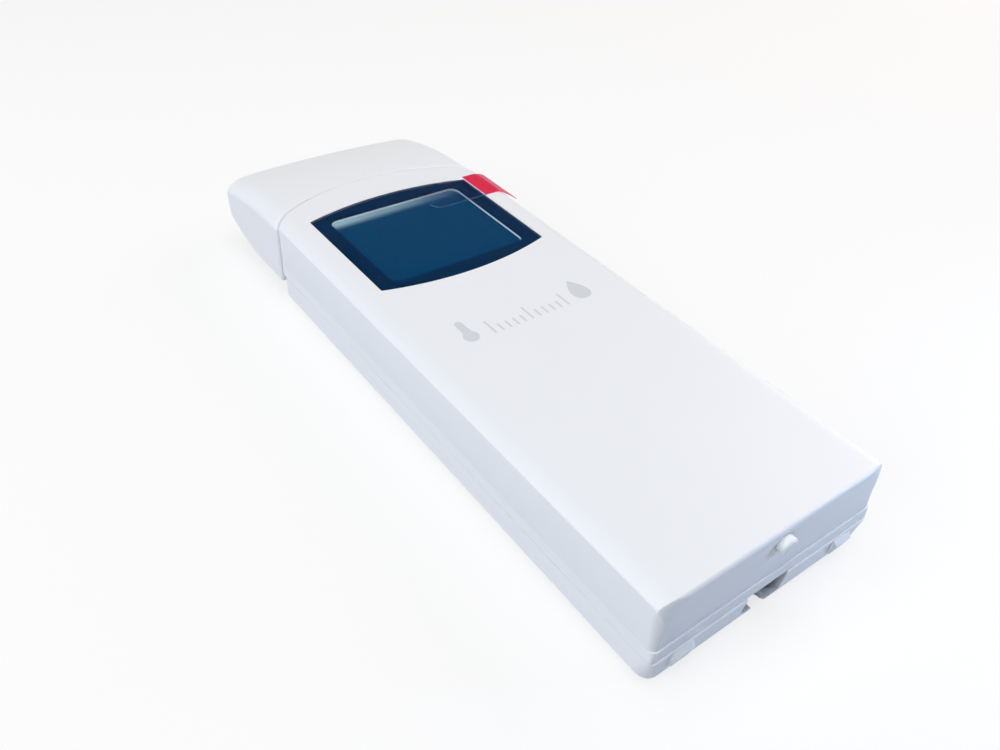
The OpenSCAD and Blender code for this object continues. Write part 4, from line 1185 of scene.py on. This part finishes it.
class SENSOR_OT_print(bpy.types.Operator):
    """Prints a thermometer, a plain scale and a drop below the window"""

    bl_idname = "sensor.print"
    bl_label = "Pictograms"

    # Shares of a pictogram's height, and how slim the drop's point is
    BULB, STEM, LONG_TICK, SHORT_TICK, DROP_HALF = 0.24, 0.12, 0.62, 0.34, 0.42
    DROP_POINT = 1.1
    # Half angle of the thermometer's outline that makes its round upper end
    STEM_ARC = math.radians(32)
    TICKS_APART = 5

    def execute(self, context):
        sizes = context.scene.sensor_print
        bm = bmesh.new()
        self.thermometer(bm, sizes)
        self.scale(bm, sizes)
        self.drop(bm, sizes)
        # The ink's lower quarter lies in the case, so no gap shows under it
        low_z = SHELL_HIGH.z - sizes.thickness / 4
        bmesh.ops.translate(bm, verts=bm.verts, vec=(0, sizes.middle, low_z))
        raise_sheet(bm, sizes.thickness)
        piece = new_object(bm, "pictograms")
        # Pad-printing ink, thin and matt
        grey = context.scene.sensor_finishes.print_grey
        piece.data.materials.append(moulded("Grey printing ink", grey, 0.5, 0.6, 0.2, 0.002))
        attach(piece, "case")
        return {"FINISHED"}

    def thermometer(self, bm, sizes):
        """A bulb and a round-ended stem in one outline."""
        bulb, stem, reach = self.BULB * sizes.height, self.STEM * sizes.height, sizes.height / 2
        made = bmesh.ops.create_circle(bm, cap_ends=True, radius=1, segments=CIRCLE_STEPS)["verts"]
        for vert in made:
            angle = math.atan2(vert.co.x, -vert.co.y)
            if abs(angle) < math.pi - self.STEM_ARC:
                vert.co = (bulb * math.sin(angle), bulb - reach - bulb * math.cos(angle), 0)
            else:
                turn = (angle - math.copysign(math.pi, angle)) / self.STEM_ARC * math.pi / 2
                vert.co = (-stem * math.sin(turn), reach - stem + stem * math.cos(turn), 0)
        bmesh.ops.translate(bm, verts=made, vec=(-sizes.left, 0, 0))

    def scale(self, bm, sizes):
        """A row of ticks, every fifth one longer."""
        for k in range(sizes.ticks):
            x = (k - (sizes.ticks - 1) / 2) * sizes.pitch
            tall = sizes.height * (self.SHORT_TICK if k % self.TICKS_APART else self.LONG_TICK)
            add_rectangle(bm, sizes.stroke, tall, (x, (tall - sizes.height) / 2, 0))

    def drop(self, bm, sizes):
        """A drop with its point up."""
        made = bmesh.ops.create_circle(bm, cap_ends=True, radius=1, segments=CIRCLE_STEPS)["verts"]
        for vert in made:
            angle = math.atan2(vert.co.x, vert.co.y)
            slim = abs(math.sin(angle / 2)) ** self.DROP_POINT
            wide = self.DROP_HALF * sizes.height * math.sin(angle) * slim
            vert.co = (wide, sizes.height / 2 * math.cos(angle), 0)
        bmesh.ops.translate(bm, verts=made, vec=(sizes.right, 0, 0))


def seen_rays(tree):
    """1 for rays from the camera, a reflection or a clear piece, and 0 for light on other surfaces."""
    path = add(tree, "ShaderNodeLightPath").outputs
    seen = path["Is Camera Ray"]
    for ray in ("Is Glossy Ray", "Is Transmission Ray"):
        seen = add(tree, "ShaderNodeMath", {0: seen, 1: path[ray]}, operation="MAXIMUM").outputs[0]
    return seen


class SENSOR_OT_stage(bpy.types.Operator):
    """Sets the camera, the lamps, the even light and the pale floor"""

    bl_idname = "sensor.stage"
    bl_label = "Stage"

    # Share of plain white in the floor as it is seen, and the tone of the rest, which takes the shadow
    FLOOR_GLOW, FLOOR_GREY = 0.75, 0.95
    # In metres
    FLOOR_WIDTH, CLIP_START = 6, 0.005

    def execute(self, context):
        scene = context.scene
        stage = scene.sensor_stage
        scene.view_settings.view_transform = "Standard"
        camera = bpy.data.objects.new("Camera", bpy.data.cameras.new("Camera"))
        scene.collection.objects.link(camera)
        camera.data.sensor_width = 36
        camera.data.lens = stage.lens
        camera.data.clip_start = self.CLIP_START
        camera.location = stage.eye
        aim = (Vector(stage.aim) - Vector(stage.eye)).to_track_quat("-Z", "Y")
        camera.rotation_mode = "QUATERNION"
        camera.rotation_quaternion = aim @ Quaternion((0, 0, 1), stage.roll)
        scene.camera = camera
        self.floor(stage)
        # Each lamp's place and size in metres, its watts and its colour
        lamps = {
            "Overhead softbox": ((-0.1, 0.04, 0.6), 0.5, 2.04, stage.overhead),
            "Left softbox": ((-0.6, 0, 0.3), 0.5, 2.9, stage.left),
            "Right softbox": ((0.6, 0, 0.3), 0.5, 2.45, stage.right),
            "Front fill": ((0.35, -0.3, 0.15), 0.25, 0.22, stage.front),
            "Near spot": ((0.13, -0.15, 0.065), 0.03, 0.1, stage.spot),
        }
        for name, settings in lamps.items():
            self.lamp(scene, name, *settings)
        self.world(scene, stage)
        return {"FINISHED"}

    def floor(self, stage):
        """Pale floor that the camera sees as near white, with the object's soft shadow."""
        bm = bmesh.new()
        add_rectangle(bm, self.FLOOR_WIDTH, self.FLOOR_WIDTH, (0, 0, 0))
        floor = new_object(bm, "Floor")
        # Matt paper
        material, tree, _ = new_material("Pale paper floor")
        seen = seen_rays(tree)
        tone = add(tree, "ShaderNodeMix", {
            "Factor": seen, 6: (*stage.floor, 1), 7: (*[self.FLOOR_GREY] * 3, 1),
        }, data_type="RGBA").outputs[2]
        paper = add(tree, "ShaderNodeBsdfDiffuse", {"Color": tone})
        glow = add(tree, "ShaderNodeEmission", {"Color": (1, 1, 1, 1), "Strength": 1.0})
        share = add(tree, "ShaderNodeMath", {0: seen, 1: self.FLOOR_GLOW}, operation="MULTIPLY")
        both = add(tree, "ShaderNodeMixShader", {
            0: share.outputs[0], 1: paper.outputs["BSDF"], 2: glow.outputs["Emission"],
        })
        add(tree, "ShaderNodeOutputMaterial", {"Surface": both.outputs["Shader"]})
        floor.data.materials.append(material)

    def lamp(self, scene, name, place, size, watts, rgb):
        """One square softbox that faces the object."""
        light = bpy.data.lights.new(name, "AREA")
        light.shape = "SQUARE"
        light.size = size
        light.energy = watts
        light.color = rgb
        lamp = bpy.data.objects.new(name, light)
        scene.collection.objects.link(lamp)
        lamp.location = place
        lamp.rotation_mode = "QUATERNION"
        lamp.rotation_quaternion = (-Vector(place)).to_track_quat("-Z", "Y")

    def world(self, scene, stage):
        """Even cool light, with a white surround for what the camera and reflections see."""
        world = bpy.data.worlds.new("Studio")
        scene.world = world
        world.use_nodes = True
        tree = world.node_tree
        tree.nodes.clear()
        cool = {"Color": (*linear("#dfe8f6"), 1), "Strength": stage.ambient}
        even = add(tree, "ShaderNodeBackground", cool)
        white = add(tree, "ShaderNodeBackground", {"Color": (1, 1, 1, 1), "Strength": 1.0})
        both = add(tree, "ShaderNodeMixShader", {
            0: seen_rays(tree), 1: even.outputs["Background"], 2: white.outputs["Background"],
        })
        add(tree, "ShaderNodeOutputWorld", {"Surface": both.outputs["Shader"]})


class SENSOR_PT_panel(bpy.types.Panel):
    """Lists the pieces in the order in which they are built"""

    bl_idname = "SENSOR_PT_panel"
    bl_label = "Sensor"
    bl_space_type = "VIEW_3D"
    bl_region_type = "UI"
    bl_category = "Sensor"

    def draw(self, context):
        for operator in OPERATORS:
            self.layout.operator(operator.bl_idname)


GROUPS = {
    "sensor_case": CaseSizes,
    "sensor_cap": CapSizes,
    "sensor_tab": TabSizes,
    "sensor_print": PrintSizes,
    "sensor_finishes": Finishes,
    "sensor_stage": StageSettings,
}
OPERATORS = (
    SENSOR_OT_shells, SENSOR_OT_cap, SENSOR_OT_window, SENSOR_OT_pull_tab, SENSOR_OT_display,
    SENSOR_OT_button, SENSOR_OT_jack, SENSOR_OT_boards, SENSOR_OT_cell, SENSOR_OT_guard,
    SENSOR_OT_fasteners, SENSOR_OT_print, SENSOR_OT_stage,
)
CLASSES = (*GROUPS.values(), *OPERATORS, SENSOR_PT_panel)


def register():
    for kind in CLASSES:
        bpy.utils.register_class(kind)
    for name, group in GROUPS.items():
        setattr(bpy.types.Scene, name, PointerProperty(type=group))


def unregister():
    for name in GROUPS:
        delattr(bpy.types.Scene, name)
    for kind in reversed(CLASSES):
        bpy.utils.unregister_class(kind)


def main():
    register()
    bpy.ops.sensor.shells()
    bpy.ops.sensor.cap()
    bpy.ops.sensor.window()
    bpy.ops.sensor.pull_tab()
    bpy.ops.sensor.display()
    bpy.ops.sensor.button()
    bpy.ops.sensor.jack()
    bpy.ops.sensor.boards()
    bpy.ops.sensor.cell()
    bpy.ops.sensor.guard()
    bpy.ops.sensor.fasteners()
    bpy.ops.sensor.print()
    bpy.ops.sensor.stage()


if __name__ == "__main__":
    main()
